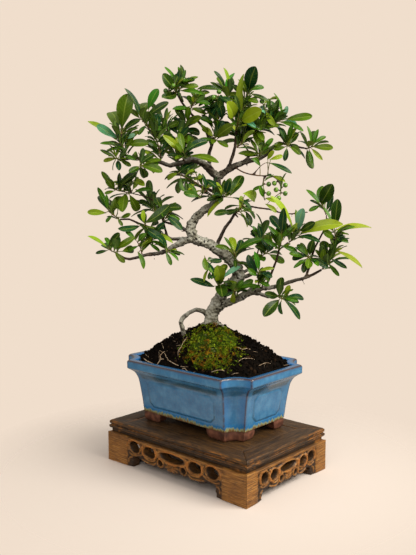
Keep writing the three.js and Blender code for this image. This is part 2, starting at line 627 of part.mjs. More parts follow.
// Leafy sprays. Shoots are stations with a radius at each end. Leaves are [across, height] of the base and
// of the tip in the elevation, and the width that shows there. Berries are given by their places.
// `behind` leaves more stand round the last shoot's end, away from the viewer.
const SPRAYS = {
  low_centre: {
    shoots: [[[[9, 199, -9], [6, 201, 0], [3, 203, 8]], 1.1, 0.8],
      [[[3, 203, 8], [-5, 221, 12], [-12, 236, 15]], 0.7, 0.5]],
    leaves: [[-1, 201, -27, 210, 7], [-12, 236, -18, 225, 7], [1, 206, -12, 229, 4],
      [3, 204, -5, 229, 13], [9, 211, 27, 224, 5], [5, 203, 8, 192, 13], [11, 207, 25, 206, 4],
      [13, 207, 20, 201, 3]],
    behind: 1,
  },
  low_front: {
    shoots: [[[[25, 187, 0], [22, 192, 9], [21, 197, 15]], 1, 0.7]],
    leaves: [[21, 196, 11, 191, 4], [20, 196, 19, 183, 6], [24, 200, 50, 201, 4], [22, 199, 31, 208, 5]],
    behind: 0,
  },
  bend: {
    shoots: [[[[22, 224, -2], [22, 231, 7], [21, 238, 12]], 1, 0.7]],
    leaves: [[19, 242, 10, 256, 3], [21, 240, 17, 256, 8], [25, 242, 52, 254, 7], [18, 241, 0, 246, 5],
      [28, 229, 40, 219, 4], [24, 228, 38, 226, 4]],
    behind: 2,
  },
  middle: {
    shoots: [[[[3, 299, -4], [8, 299, 5], [11, 300, 12]], 1.1, 0.8]],
    leaves: [[9, 299, -9, 296, 6], [9, 302, -10, 319, 6], [10, 303, 5, 318, 5], [11, 303, 15, 317, 8],
      [16, 300, 29, 323, 12], [9, 296, -9, 279, 4], [19, 299, 40, 286, 4]],
    behind: 0,
  },
  middle_limb: {
    shoots: [[[[22, 282, 12], [27, 285, 19], [30, 292, 23]], 0.9, 0.7]],
    leaves: [[18, 283, -1, 281, 7], [30, 303, 45, 297, 12], [28, 288, 40, 284, 4], [33, 284, 38, 268, 7]],
    behind: 0,
  },
  thin_left: {
    shoots: [[[[1, 298, -3], [-10, 306, 4], [-20, 314, 7], [-30, 319, 9], [-41, 325, 10]], 1, 0.7],
      [[[-10, 306, 4], [-15, 301, 9], [-17, 298, 13]], 0.8, 0.6]],
    leaves: [[-16, 300, -34, 304, 8], [-33, 322, -22, 329, 4], [-24, 317, -13, 322, 4],
      [-12, 309, -2, 314, 4], [-40, 325, -52, 318, 6], [-22, 313, -30, 307, 5]],
    behind: 0,
  },
  left_tip: {
    shoots: [[[[-103, 275, 3], [-110, 279, 5], [-116, 284, 7]], 0.9, 0.7]],
    leaves: [[-118, 282, -139, 283, 7], [-116, 286, -127, 310, 5], [-117, 286, -118, 302, 4],
      [-112, 279, -119, 272, 4], [-112, 283, -99, 300, 13], [-103, 277, -92, 281, 5],
      [-106, 276, -101, 268, 4]],
    behind: 2,
  },
  left_inner: {
    shoots: [[[[-70, 266, 4], [-74, 268, 10], [-78, 268, 16]], 1, 0.7],
      [[[-70, 266, 4], [-69, 257, 10], [-70, 251, 14]], 0.8, 0.6]],
    leaves: [[-82, 268, -106, 265, 7], [-77, 271, -50, 290, 12], [-76, 266, -57, 254, 9],
      [-77, 271, -78, 285, 5], [-66, 265, -47, 260, 5], [-68, 260, -46, 250, 4], [-71, 252, -52, 243, 4],
      [-72, 249, -60, 240, 4], [-72, 251, -84, 246, 5]],
    behind: 2,
  },
  left_riser: {
    shoots: [[[[-57, 273, 4], [-55, 278, 9], [-54, 282, 13]], 0.9, 0.6]],
    leaves: [[-58, 284, -37, 288, 9], [-57, 286, -64, 300, 9], [-54, 286, -50, 300, 5],
      [-54, 279, -36, 264, 8], [-51, 280, -38, 275, 4]],
    behind: 1,
  },
  left_shoulder: {
    shoots: [[[[-90, 303, -5], [-100, 305, -3], [-108, 307, 0]], 0.9, 0.7],
      [[[-90, 303, -5], [-92, 310, -2], [-91, 317, 2]], 0.8, 0.6]],
    leaves: [[-109, 307, -118, 319, 8], [-110, 309, -123, 327, 6], [-109, 306, -120, 303, 4],
      [-106, 311, -86, 326, 9], [-99, 304, -90, 317, 9], [-89, 317, -77, 312, 7],
      [-97, 303, -101, 284, 12], [-93, 302, -83, 284, 10], [-102, 308, -104, 325, 5]],
    behind: 2,
  },
  lower_left_tip: {
    shoots: [[[[-105, 237, 18], [-112, 240, 18], [-117, 243, 18]], 0.9, 0.7]],
    leaves: [[-118, 244, -139, 257, 3], [-118, 241, -131, 238, 4], [-117, 245, -105, 260, 9],
      [-110, 243, -88, 256, 8], [-102, 240, -89, 243, 9], [-110, 240, -99, 228, 6],
      [-114, 244, -122, 256, 5]],
    behind: 1,
  },
  lower_left_mid: {
    shoots: [[[[-80, 237, 16], [-82, 245, 19], [-86, 252, 21]], 0.9, 0.6]],
    leaves: [[-85, 240, -78, 221, 5], [-81, 245, -68, 254, 5], [-84, 250, -76, 260, 5],
      [-87, 253, -98, 262, 5], [-84, 246, -96, 240, 4]],
    behind: 1,
  },
  lower_left_inner: {
    shoots: [[[[-50, 243, 11], [-52, 241, 18], [-53, 240, 23]], 0.8, 0.6]],
    leaves: [[-54, 240, -48, 225, 5], [-51, 242, -38, 236, 4], [-51, 239, -40, 230, 3],
      [-54, 243, -62, 251, 5]],
    behind: 1,
  },
  upper_left: {
    shoots: [[[[-95, 340, 19], [-99, 352, 21], [-101, 362, 22], [-101, 370, 22]], 1.2, 0.8]],
    leaves: [[-100, 372, -94, 409, 17], [-106, 370, -112, 390, 15], [-103, 373, -127, 388, 4],
      [-105, 362, -127, 376, 9], [-106, 360, -137, 380, 6], [-106, 356, -124, 357, 4],
      [-97, 368, -83, 373, 4], [-98, 373, -80, 383, 5], [-97, 362, -86, 366, 5], [-97, 355, -72, 357, 9],
      [-98, 352, -120, 347, 4], [-97, 358, -83, 370, 6]],
    behind: 2,
  },
  arm_left_tip: {
    shoots: [[[[-102, 339, 20], [-106, 340, 26], [-108, 341, 31]], 0.9, 0.6]],
    leaves: [[-108, 342, -124, 350, 4], [-106, 341, -121, 338, 5], [-104, 343, -95, 352, 5],
      [-105, 339, -104, 328, 6], [-103, 339, -92, 331, 5]],
    behind: 0,
  },
  arm_left_under: {
    shoots: [[[[-82, 341, 18], [-81, 336, 25], [-80, 332, 30]], 0.9, 0.6]],
    leaves: [[-80, 333, -57, 327, 9], [-82, 333, -66, 345, 7], [-82, 332, -93, 326, 7],
      [-84, 338, -97, 343, 5], [-80, 331, -76, 319, 7]],
    behind: 1,
  },
  upper_left_inner: {
 
        shoots: [[[[-59, 337, 14], [-60, 348, 17], [-62, 357, 18], [-67, 366, 19], [-73, 374, 20],
          [-78, 381, 21]], 1.1, 0.7]],
    leaves: [[-80, 383, -96, 415, 5], [-79, 385, -70, 404, 13], [-75, 384, -50, 400, 9],
      [-72, 392, -61, 414, 10], [-75, 381, -56, 386, 5], [-72, 374, -57, 372, 5], [-74, 376, -83, 366, 5],
      [-81, 383, -91, 392, 6], [-62, 358, -48, 365, 8], [-61, 352, -72, 358, 6]],
    behind: 2,
  },
  crown_left_front: {
    shoots: [[[[-34, 337, 8], [-34, 342, 17], [-34, 346, 23]], 0.9, 0.7]],
    leaves: [[-35, 347, -57, 366, 8], [-33, 348, -8, 360, 9], [-37, 345, -52, 344, 4],
      [-31, 343, 4, 337, 6], [-34, 349, -38, 368, 7]],
    behind: 0,
  },
  crown_left: {
    shoots: [[[[-40, 337, 8], [-41, 350, 3], [-39, 362, 0], [-34, 371, -2], [-31, 379, -3]], 1.1, 0.7]],
    leaves: [[-38, 362, -22, 358, 8], [-34, 371, -16, 368, 9], [-31, 379, -15, 384, 9],
      [-34, 378, -50, 375, 7], [-40, 366, -50, 380, 8], [-33, 380, -42, 396, 8], [-30, 380, -25, 396, 7],
      [-40, 356, -55, 352, 7]],
    behind: 2,
  },
  top_left: {
    shoots: [[[[-40, 408, 2], [-39, 413, 4], [-38, 418, 6]], 0.9, 0.7]],
    leaves: [[-42, 413, -54, 428, 11], [-39, 416, -54, 437, 4], [-36, 419, -32, 434, 4],
      [-35, 419, -22, 424, 5], [-36, 415, -18, 417, 6], [-37, 412, -10, 407, 6], [-41, 409, -57, 405, 10],
      [-37, 420, -42, 438, 5]],
    berries: [[-53, 412, 9], [-45, 417, 15], [-34, 424, 12]],
    behind: 1,
  },
  top_left_inner: {
    shoots: [[[[-28, 391, 0], [-24, 397, 6], [-21, 402, 9]], 0.9, 0.6]],
    leaves: [[-22, 401, -5, 398, 5], [-21, 404, -6, 411, 6], [-26, 394, -10, 388, 6],
      [-28, 394, -46, 393, 5], [-22, 403, -24, 418, 6]],
    behind: 2,
  },
  top_middle: {
    shoots: [[[[15, 400, -2], [13, 405, -1], [11, 411, 0]], 0.9, 0.7]],
    leaves: [[8, 413, -19, 415, 6], [10, 413, 2, 428, 7], [11, 415, -1, 433, 4], [13, 413, 10, 437, 4],
      [14, 413, 24, 436, 8], [13, 409, 26, 407, 7], [12, 405, 1, 399, 6], [15, 410, 31, 420, 8]],
    behind: 2,
  },
  top_right: {
    shoots: [[[[22, 384, 2], [29, 392, 7], [33, 402, 8], [36, 411, 8]], 1, 0.7]],
    leaves: [[36, 413, 42, 436, 15], [38, 409, 57, 401, 5], [33, 403, 46, 400, 6], [34, 409, 27, 424, 7],
      [37, 412, 52, 416, 6]],
    behind: 2,
  },
  crown_right: {
    shoots: [[[[22, 369, 1], [24, 377, 10], [26, 384, 16]], 1.1, 0.8]],
    leaves: [[20, 384, 14, 399, 14], [29, 386, 33, 427, 7], [28, 381, 48, 392, 15], [26, 388, 21, 408, 5],
      [25, 389, 26, 416, 9], [23, 386, 18, 396, 4], [29, 381, 44, 374, 5], [28, 378, 50, 371, 5],
      [23, 378, 8, 372, 5]],
    behind: 0,
  },
  crown_middle: {
    shoots: [[[[-2, 363, -6], [0, 373, 1], [3, 381, 5]], 1, 0.7],
      [[[3, 381, 5], [5, 391, 8], [4, 400, 10]], 0.6, 0.45]],
    leaves: [[7, 381, 2, 400, 10], [2, 383, -8, 406, 6], [-1, 381, -12, 399, 5], [-1, 378, -16, 384, 6],
      [4, 379, 13, 368, 6]],
    berries: [[-2, 405, 12], [4, 411, 12], [10, 404, 14]],
    behind: 1,
  },
  crown_heart: {
    shoots: [[[[-3, 356, -6], [-1, 360, 3], [0, 363, 10]], 0.9, 0.7]],
    leaves: [[1, 363, 18, 376, 11], [-2, 363, -14, 373, 7], [-2, 361, -18, 360, 5], [1, 360, 14, 353, 6]],
    behind: 0,
  },
  right_top: {
    shoots: [[[[22, 352, -1], [28, 356, 0], [31, 363, 0], [37, 367, -1], [46, 371, -3], [56, 374, -5],
      [64, 378, -6], [72, 382, -6]], 1.2, 0.8], [[[46, 371, -3], [52, 380, 0], [55, 389, 2]], 0.8, 0.6]],
    leaves: [[56, 390, 66, 398, 5], [54, 390, 42, 397, 5], [54, 387, 42, 389, 4], [63, 380, 67, 403, 7],
      [72, 384, 63, 410, 4], [74, 384, 77, 396, 5], [75, 382, 104, 386, 9], [73, 380, 88, 377, 5],
      [70, 379, 95, 370, 6], [62, 380, 48, 386, 6], [57, 391, 57, 404, 5], [45, 371, 52, 360, 7]],
    berries: [[50, 401, 6]],
    behind: 2,
  },
  right_arm_front: {
    shoots: [[[[47, 341, -11], [48, 344, -3], [48, 346, 4]], 0.9, 0.7]],
    leaves: [[46, 345, 25, 346, 6], [50, 347, 42, 368, 8], [51, 347, 62, 362, 6], [49, 349, 54, 366, 5]],
    behind: 0,
  },
  right_arm_end: {
    shoots: [[[[75, 356, -14], [77, 355, -6], [78, 354, 0]], 0.9, 0.7]],
    leaves: [[77, 352, 75, 338, 6], [80, 355, 88, 369, 8], [77, 356, 70, 373, 8], [80, 353, 92, 345, 7],
      [76, 353, 62, 351, 6], [79, 357, 82, 378, 5]],
    behind: 2,
  },
  right_arm_tip: {
    shoots: [[[[97, 351, -12], [102, 352, -8], [105, 354, -5]], 0.9, 0.6]],
    leaves: [[103, 356, 99, 375, 4], [106, 356, 119, 364, 5], [106, 353, 127, 352, 8],
      [104, 351, 116, 339, 5], [101, 350, 107, 335, 5], [99, 353, 92, 369, 4], [106, 355, 113, 371, 5]],
    behind: 2,
  },
  hanging: {
    shoots: [[[[20, 332, -7], [30, 326, 2], [41, 323, 7], [51, 322, 11], [60, 322, 14], [67, 318, 15],
      [71, 310, 16], [71, 303, 16]], 1.2, 0.5], [[[41, 323, 7], [46, 329, 10], [51, 334, 13],
      [57, 337, 15]], 0.9, 0.6],
    [[[54, 322, 12], [52, 314, 13], [53, 304, 14], [54, 292, 14]], 0.8, 0.5]],
    leaves: [[58, 336, 83, 325, 5], [58, 339, 73, 344, 5], [56, 339, 64, 350, 5], [62, 322, 76, 316, 4],
      [52, 312, 41, 307, 4], [53, 305, 43, 299, 4], [54, 298, 67, 294, 5], [54, 292, 66, 283, 5],
      [49, 332, 40, 341, 5]],
    berries: [[58, 313, 15], [64, 314, 17], [66, 307, 20], [76, 312, 18], [76, 303, 18], [69, 298, 18],
      [58, 303, 17]],
    behind: 0,
  },
  right_stem: {
    shoots: [[[[69, 241, 20], [72, 249, 25], [72, 259, 29]], 1, 0.7]],
    leaves: [[70, 246, 66, 260, 6], [73, 262, 60, 279, 9], [71, 255, 58, 268, 5], [73, 261, 74, 292, 9],
      [72, 247, 90, 240, 6], [69, 244, 53, 254, 5], [71, 256, 84, 266, 6]],
    behind: 0,
  },
  right_heart: {
    shoots: [[[[79, 249, 22], [86, 254, 24], [91, 261, 25]], 1, 0.7]],
    leaves: [[86, 259, 62, 302, 5], [89, 263, 88, 286, 5], [92, 263, 95, 288, 10],
      [93, 260, 139, 271, 11], [86, 256, 76, 260, 5], [91, 257, 115, 251, 5], [92, 262, 108, 277, 8]],
    behind: 2,
  },
  right_middle: {
    shoots: [[[[104, 231, 12], [103, 233, 18], [101, 235, 23]], 0.9, 0.7]],
    leaves: [[103, 236, 107, 252, 8], [100, 235, 84, 232, 7], [101, 231, 97, 217, 7],
      [104, 233, 124, 222, 8], [99, 237, 90, 248, 6], [100, 232, 86, 222, 4]],
    behind: 1,
  },
  right_upper: {
    shoots: [[[[121, 279, 5], [119, 284, 7], [116, 290, 9]], 0.8, 0.6]],
    leaves: [[115, 292, 126, 312, 14], [114, 291, 99, 308, 5], [117, 289, 127, 272, 4],
      [114, 290, 101, 284, 5], [117, 291, 117, 311, 5]],
    behind: 2,
  },
  right_outer: {
    shoots: [[[[116, 219, 17], [125, 229, 18], [131, 241, 19], [131, 254, 19], [130, 263, 19]], 1.1, 0.7]],
    leaves: [[118, 220, 125, 206, 5], [124, 227, 137, 213, 5], [127, 232, 145, 222, 5],
      [131, 241, 162, 223, 5], [131, 246, 137, 263, 8], [131, 254, 146, 250, 4], [131, 260, 152, 268, 4],
      [131, 263, 171, 268, 6], [130, 265, 133, 297, 11], [129, 254, 118, 262, 8], [128, 245, 114, 249, 8],
      [129, 262, 121, 276, 7]],
    behind: 2,
  },
  low_right: {
    shoots: [[[[47, 199, 9], [48, 208, 16], [48, 218, 20]], 0.9, 0.6]],
    leaves: [[48, 219, 43, 240, 6], [49, 219, 64, 222, 4], [49, 215, 63, 212, 6], [47, 213, 36, 221, 6],
      [47, 208, 60, 203, 5]],
    behind: 1,
  },
  low_right_upper: {
    shoots: [[[[51, 235, -4], [54, 237, 4], [57, 238, 10]], 0.9, 0.6]],
    leaves: [[55, 240, 44, 246, 6], [60, 240, 50, 254, 5], [59, 237, 76, 228, 8], [53, 236, 38, 231, 6],
      [57, 240, 66, 250, 5]],
    behind: 2,
  },
  low_right_under: {
    shoots: [[[[68, 191, 16], [71, 189, 22], [74, 188, 27]], 0.9, 0.7]],
    leaves: [[71, 187, 54, 168, 12], [76, 187, 95, 165, 6], [78, 189, 82, 203, 6], [70, 191, 55, 194, 8],
      [72, 192, 72, 208, 9], [76, 189, 92, 186, 5]],
    behind: 1,
  },
};

// Leafy shoots at the back: [name, shoot stations], each with a rosette of leaves in the rule's order
const BACK_SPRAYS = [
  ['back_middle', [[-25, 317, -62], [-29, 321, -70], [-32, 326, -77]]],
  ['back_right', [[31, 355, -65], [27, 361, -71], [25, 368, -76]]],
  ['back_left', [[-50, 365, -53], [-52, 371, -60], [-55, 378, -64]]],
  ['back_low_right', [[48, 243, -61], [50, 250, -67], [53, 258, -70]]],
  ['back_low_left', [[-63, 281, -53], [-67, 287, -60], [-72, 293, -64]]],
];
const BACK_LEAVES = 12;

// A closed skin that grows: twigs, leaves and berries each start from one facet of what carries them, so
// that a whole spray is one body with no inner walls.
class Skin {
  constructor(rings) {
    this.points = [];
    this.facets = [];
    const sides = rings[0].length;
    const loops = rings.map((ring) => this.addPoints(ring));
    for (let i = 1; i < sides - 1; i += 1) this.addFacet(loops[0][0], loops[0][i + 1], loops[0][i], false);
    this.addWalls(loops, true);
    const end = loops[loops.length - 1];
    for (let i = 1; i < sides - 1; i += 1) this.addFacet(end[0], end[i], end[i + 1], true);
  }

  addPoints(list) {
    return list.map((p) => this.points.push(p) - 1);
  }

  addFacet(a, b, c, grows) {
    const [pa, pb, pc] = [a, b, c].map((i) => this.points[i]);
    const centre = pa.clone().add(pb).add(pc).divideScalar(3);
    const normal = pb.clone().sub(pa).cross(pc.clone().sub(pa)).normalize();
    this.facets.push({ corners: [a, b, c], centre, normal, grows });
  }

  addWalls(loops, grows) {
    for (let r = 0; r < loops.length - 1; r += 1) {
      loops[r].forEach((a, i) => {
        const next = (i + 1) % loops[r].length;
        const [b, c, d] = [loops[r][next], loops[r + 1][next], loops[r + 1][i]];
        for (const half of splitWall([a, b, c, d], this.points)) this.addFacet(...half, grows);
      });
    }
  }

  // The growing facets that look along a direction, the nearest to a place first
  candidates(target, direction) {
    const score = (facet) => facet.centre.distanceTo(target) - FACING_BONUS * facet.normal.dot(direction);
    return this.facets
      .filter((facet) => facet.grows && facet.normal.dot(direction) > LEAST_FACING)
      .sort((a, b) => score(a) - score(b));
  }

  corners(facet) {
    return facet.corners.map((i) => this.points[i]);
  }

  // Replaces a facet with three-sided rings, which end in a tip, in a flat end or in the loop of a berry
  grow(facet, rings, { tip = null, grows = false, closed = true } = {}) {
    this.facets.splice(this.facets.indexOf(facet), 1);
    const first = matchRing(this.corners(facet), rings[0]);
    const turned = rings.map((ring) => ring.map((_, i) => ring[(i + first) % 3]));
    const loops = [facet.corners, ...turned.map((ring) => this.addPoints(ring))];
    this.addWalls(loops, grows);
    const end = loops[loops.length - 1];
    if (tip) {
      const [apex] = this.addPoints([tip]);
      end.forEach((a, i) => this.addFacet(a, end[(i + 1) % 3], apex, false));
    } else if (closed) this.addFacet(...end, grows);
    return end;
  }

  toSolid() {
    const geometry = new THREE.BufferGeometry();
    const positions = this.points.flatMap((p) => [p.x, p.y, p.z]);
    geometry.setAttribute('position', new THREE.Float32BufferAttribute(positions, 3));
    geometry.setIndex(this.facets.flatMap((facet) => facet.corners));
    return toSolid(geometry);
  }
}

// How far a ring is turned so that it follows another with the least twist
function matchRing(from, to) {
  const twist = (turn) => from.reduce((sum, p, i) => sum + p.distanceTo(to[(i + turn) % 3]), 0);
  return [0, 1, 2].reduce((best, turn) => (twist(turn) < twist(best) ? turn : best));
}

// A folded, arched blade on a three-sided section: two edges and the midrib's underside. It widens beyond
// its middle and runs to a point. A leaf with a long stalk has one more ring where its blade begins.
function bladeRings({ root, base, tip, width, facing }, grow = 0) {
  const chord = tip.clone().sub(base);
  const length = chord.length();
  const along = chord.normalize();
  const top = facing.clone().addScaledVector(along, -facing.dot(along)).normalize();
  const side = along.clone().cross(top);
  const section = (centre, halfWidth, thickness, fold) => [
    centre.clone().addScaledVector(side, halfWidth + grow).addScaledVector(top, fold + grow),
    centre.clone().addScaledVector(top, -thickness - grow),
    centre.clone().addScaledVector(side, -halfWidth - grow).addScaledVector(top, fold + grow),
  ];
  const rings = [];
  if (grow === 0 && base.distanceTo(root) > LONG_PETIOLE) {
    rings.push(section(base, PETIOLE_RADIUS, PETIOLE_RADIUS, 0.3));
  }
  for (const [share, widthShare] of width >= WIDE_LEAF ? WIDE_STATIONS : SLIM_STATIONS) {
    const rise = 4 * LEAF_ARCH * length * share * (1 - share);
    const centre = base.clone().addScaledVector(along, length * share).addScaledVector(top, rise);
    const halfWidth = (width * widthShare) / 2;
    rings.push(section(centre, halfWidth, LEAF_THICKNESS, LEAF_FOLD * halfWidth));
  }
  return rings;
}

// Where a point shows in the elevation
function shownAt(p) {
  const spread = VIEW_DISTANCE / (VIEW_DISTANCE - p.dot(TOWARD));
  return new THREE.Vector2(
    VIEW_ACROSS + (p.dot(RIGHT) - VIEW_ACROSS) * spread,
    VIEW_HEIGHT + (p.z - VIEW_HEIGHT) * spread,
  );
}

function nearestOnShoots(shoots, target) {
  const shown = shownAt(target);
  const points = shoots.flatMap(([stations]) => limbCurve(stations).getPoints(16).slice(2));
  const miss = (p) => shownAt(p).distanceTo(shown);
  return points.reduce((best, p) => (miss(p) < miss(best) ? p : best));
}

// Turns a leaf of the elevation into a real one. What looks slim is seen partly from its edge, and what
// looks short leans towards the viewer or away.
function leafFromElevation([fromAcross, fromHeight, toAcross, toHeight, shownWidth], shoots, lean) {
  const root = nearestOnShoots(shoots, place(fromAcross, fromHeight, 0));
  const depth = root.dot(TOWARD);
  const base = place(fromAcross, fromHeight, depth);
  const shownLength = base.distanceTo(place(toAcross, toHeight, depth));
  const width = Math.max(shownWidth, Math.min(shownLength / SLIM_LEAF, MOST_TURNED * shownWidth));
  const length = Math.max(shownLength * 1.03, Math.min(SHORT_LEAF * shownWidth, LONGEST_LEAF));
  const tip = place(toAcross, toHeight, depth + lean * Math.sqrt(length ** 2 - shownLength ** 2));
  const along = tip.clone().sub(base).normalize();
  const roll = Math.max(Math.acos(Math.min(shownWidth / width, 1)), LEAST_ROLL);
  const front = TOWARD.clone().addScaledVector(along, -TOWARD.dot(along)).normalize();
  const turned = [1, -1].map((sign) => front.clone().applyAxisAngle(along, sign * roll));
  const facing = turned[0].z > turned[1].z ? turned[0] : turned[1];
  return { root, base, tip, width, facing };
}

// Leaves round a shoot's end, a golden angle apart, opening wider the further down they stand, and tilted
// away from the viewer by a share
function rosette(stations, count, random, tilt) {
  const curve = limbCurve(stations);
  const axis = curve.getTangent(1);
  const first = new THREE.Vector3(0.31, 0.27, 0.9).cross(axis).normalize();
  const second = axis.clone().cross(first);
  return Array.from({ length: count }, (_, i) => {
    const turn = GOLDEN_ANGLE * i + 0.5 * random();
    const open = 0.5 + (0.9 * (i + 1)) / count + 0.25 * random();
    const length = 20 + 13 * random();
    const width = length * (0.24 + 0.12 * random());
    const outward = first.clone().multiplyScalar(Math.cos(turn)).addScaledVector(second, Math.sin(turn));
    const root = curve.getPoint(1 - (0.75 * i) / count);
    const direction = axis.clone().multiplyScalar(Math.cos(open)).addScaledVector(outward, Math.sin(open))
      .addScaledVector(TOWARD, -tilt)
      .normalize();
    const base = root.clone().addScaledVector(direction, 2);
    const tip = root.clone().addScaledVector(direction, length);
    const facing = axis.clone().multiplyScalar(0.6).addScaledVector(UP, 0.8);
    return { root, base, tip, width, facing };
  });
}

// Leaves that would cross another piece are bent aside, by these shares of their length [across, depth, up]
const BENDS = [[0, 0, 0]];
for (const reach of [0.2, 0.4, 0.7, 1]) {
  BENDS.push([0, reach, 0], [0, -reach, 0], [0, 0, reach / 2], [reach / 2, 0, 0], [-reach / 2, 0, 0]);
  BENDS.push([reach / 2, reach, 0.1], [-reach / 2, reach, 0.1], [reach / 2, -reach, 0.1]);
  BENDS.push([-reach / 2, -reach, 0.1], [0, reach, -reach / 2], [0, -reach, -reach / 2]);
}

function bend(leaf, [across, depth, up]) {
  const length = leaf.base.distanceTo(leaf.tip);
  const direction = leaf.tip.clone().sub(leaf.base).divideScalar(length)
    .addScaledVector(RIGHT, across)
    .addScaledVector(TOWARD, depth)
    .addScaledVector(UP, up)
    .normalize();
  return { ...leaf, tip: leaf.base.clone().addScaledVector(direction, length) };
}

// What stands in the way of a new leaf. A sibling may be touched, and anything else keeps its distance.
class Obstacles {
  constructor() {
    this.list = [];
  }

  add(owner, solid) {
    this.list.push({ owner, solid, box: solid.boundingBox() });
  }

  near(solid) {
    const box = solid.boundingBox();
    return this.list.filter((other) => [0, 1, 2].every(
      (i) => box.min[i] < other.box.max[i] && other.box.min[i] < box.max[i],
    ));
  }

  blocks(owner, solid, allowance) {
    return this.near(solid).some((other) => {
      const shared = solid.intersect(other.solid);
      if (other.owner === owner) return shared.volume() > allowance;
      return !shared.isEmpty();
    });
  }
}

// A leaf takes the first bend and facet at which it shares hardly anything with its siblings, or failing
// that the first at which it shares little
function growLeaf(skin, spray, leaf, obstacles) {
  for (const allowance of SHARED_VOLUMES) {
    for (const shares of BENDS) {
      const bent = bend(leaf, shares);
      const rings = bladeRings(bent);
      const spread = loft(bladeRings(bent, LEAF_CLEARANCE), { tip: bent.tip });
      if (!obstacles.blocks(spray.name, spread, Infinity)) {
        const direction = rings[0][1].clone().sub(bent.root).normalize();
        for (const facet of skin.candidates(bent.root, direction).slice(0, FACETS_TRIED)) {
          const corners = skin.corners(facet);
          const turn = matchRing(corners, rings[0]);
          const turned = rings.map((ring) => ring.map((_, i) => ring[(i + turn) % 3]));
          const solid = loft([corners, ...turned], { tip: bent.tip, bulging: true });
          if (!obstacles.blocks(spray.name, solid, allowance)) {
            skin.grow(facet, rings, { tip: bent.tip });
            obstacles.add(spray.name, solid);
            return;
          }
        }
      }
    }
  }
}

function growShoot(skin, [stations, from, to]) {
  const rings = limbRings(stations, [from, to], { sides: 3, rings: ringCount(stations) + 1 }).slice(2);
  const middle = rings[0][0].clone().add(rings[0][1]).add(rings[0][2]).divideScalar(3);
  const start = place(...stations[0]);
  const [facet] = skin.candidates(start, middle.sub(start).normalize());
  skin.grow(facet, rings, { grows: true });
}

function ringCount(stations) {
  return Math.max(stations.length, Math.round(limbCurve(stations).getLength() / FACET_LENGTH) + 1);
}

// A berry on a thin stalk: the stalk's end takes the place of the facet of the berry that looks at it
function growBerry(skin, spray, centre, obstacles) {
  const root = nearestOnShoots(spray.shoots, centre);
  const away = centre.clone().sub(root).normalize();
  const ball = new THREE.IcosahedronGeometry(BERRY_RADIUS, 0);
  ball.deleteAttribute('normal');
  ball.deleteAttribute('uv');
  const { attributes: { position }, index } = mergeVertices(ball, 1e-4);
  const points = Array.from({ length: position.count }, (_, i) => (
    new THREE.Vector3().fromBufferAttribute(position, i).add(centre)));
  const triangles = Array.from({ length: index.count / 3 }, (_, i) => (
    [0, 1, 2].map((k) => index.getX(3 * i + k))));
  const looks = (corners) => corners.reduce((sum, i) => sum + points[i].clone().sub(centre).dot(away), 0);
  const joined = triangles.reduce((best, corners) => (looks(corners) < looks(best) ? corners : best));
  const [facet] = skin.candidates(root, away);
  const middle = facet.centre.clone().lerp(centre, 0.55);
  const across = away.clone().cross(UP).normalize();
  const stalk = [0, 1, 2].map((i) => {
    const angle = (-2 * Math.PI * i) / 3;
    return middle.clone()
      .addScaledVector(across, STALK_RADIUS * Math.cos(angle))
      .addScaledVector(across.clone().cross(away), STALK_RADIUS * Math.sin(angle));
  });
  const end = skin.grow(facet, [stalk], { closed: false });
  const loop = joined.slice().reverse();
  const turn = matchRing(end.map((i) => skin.points[i]), loop.map((i) => points[i]));
  const first = skin.addPoints(points)[0];
  skin.addWalls([end, loop.map((_, i) => first + loop[(i + turn) % 3])], false);
  for (const corners of triangles) {
    if (corners !== joined) skin.addFacet(...corners.map((i) => first + i), false);
  }
  const room = new THREE.IcosahedronGeometry(BERRY_RADIUS + 2 * GAP, 0).translate(...centre.toArray());
  obstacles.add(spray.name, toSolid(room));
}

function listSprays() {
  const front = Object.entries(SPRAYS).map(([name, spray], i) => ({
    berries: [], ...spray, name, tilt: 1.2, color: 0x55701a, random: randomFrom(1009 * (i + 1)),
  }));
  const back = BACK_SPRAYS.map(([name, stations], i) => ({
    name, shoots: [[stations, 1, 0.7]], leaves: [], berries: [], behind: BACK_LEAVES, tilt: 0,
    color: 0x3f5a0e, random: randomFrom(7919 * (i + 1)),
  }));
  return [...front, ...back];
}

function buildSprays(woodRoom) {
  const sprays = listSprays();
  const obstacles = new Obstacles();
  obstacles.add('wood', woodRoom);
  for (const spray of sprays) {
    const [[stations, from, to], ...others] = spray.shoots;
    spray.skin = new Skin(limbRings(stations, [from, to], { sides: TWIG_SIDES, rings: ringCount(stations) }));
    for (const shoot of others) growShoot(spray.skin, shoot);
    for (const [shootStations, ...radii] of spray.shoots) {
      const style = { sides: TWIG_SIDES, rings: ringCount(shootStations) };
      obstacles.add(spray.name, limb(shootStations, radii, style));
    }
    for (const station of spray.berries) growBerry(spray.skin, spray, place(...station), obstacles);
  }
  for (const spray of sprays) {
    const leaves = spray.leaves.map((row, i) => leafFromElevation(row, spray.shoots, i % 3 === 1 ? -1 : 1));
    leaves.push(...rosette(spray.shoots[0][0], spray.behind, spray.random, spray.tilt));
    for (const leaf of leaves) growLeaf(spray.skin, spray, leaf, obstacles);
    addNode(`spray_${spray.name}`, largestPiece(spray.skin.toSolid().subtract(woodRoom)), spray.color, 0.45);
  }
}

buildStand();
buildPot();
const wood = buildWood(0);
const woodRoom = buildWood(SOIL_CLEARANCE);
const soil = buildSoil();
addNode('soil', largestPiece(soil.subtract(woodRoom)), 0x1c140d, 0.95);
addNode('moss', largestPiece(buildMoss(soil).subtract(woodRoom)), 0x5f7a1a, 0.9);
addNode('tree_wood', wood, 0x8a8470, 0.85);
buildSprays(woodRoom);

// The origin is the middle of the object's box, on the floor
const bounds = new THREE.Box3().setFromObject(group, true);
const middle = bounds.getCenter(new THREE.Vector3());
for (const mesh of group.children) mesh.geometry.translate(-middle.x, -middle.y, 0);

export default group;
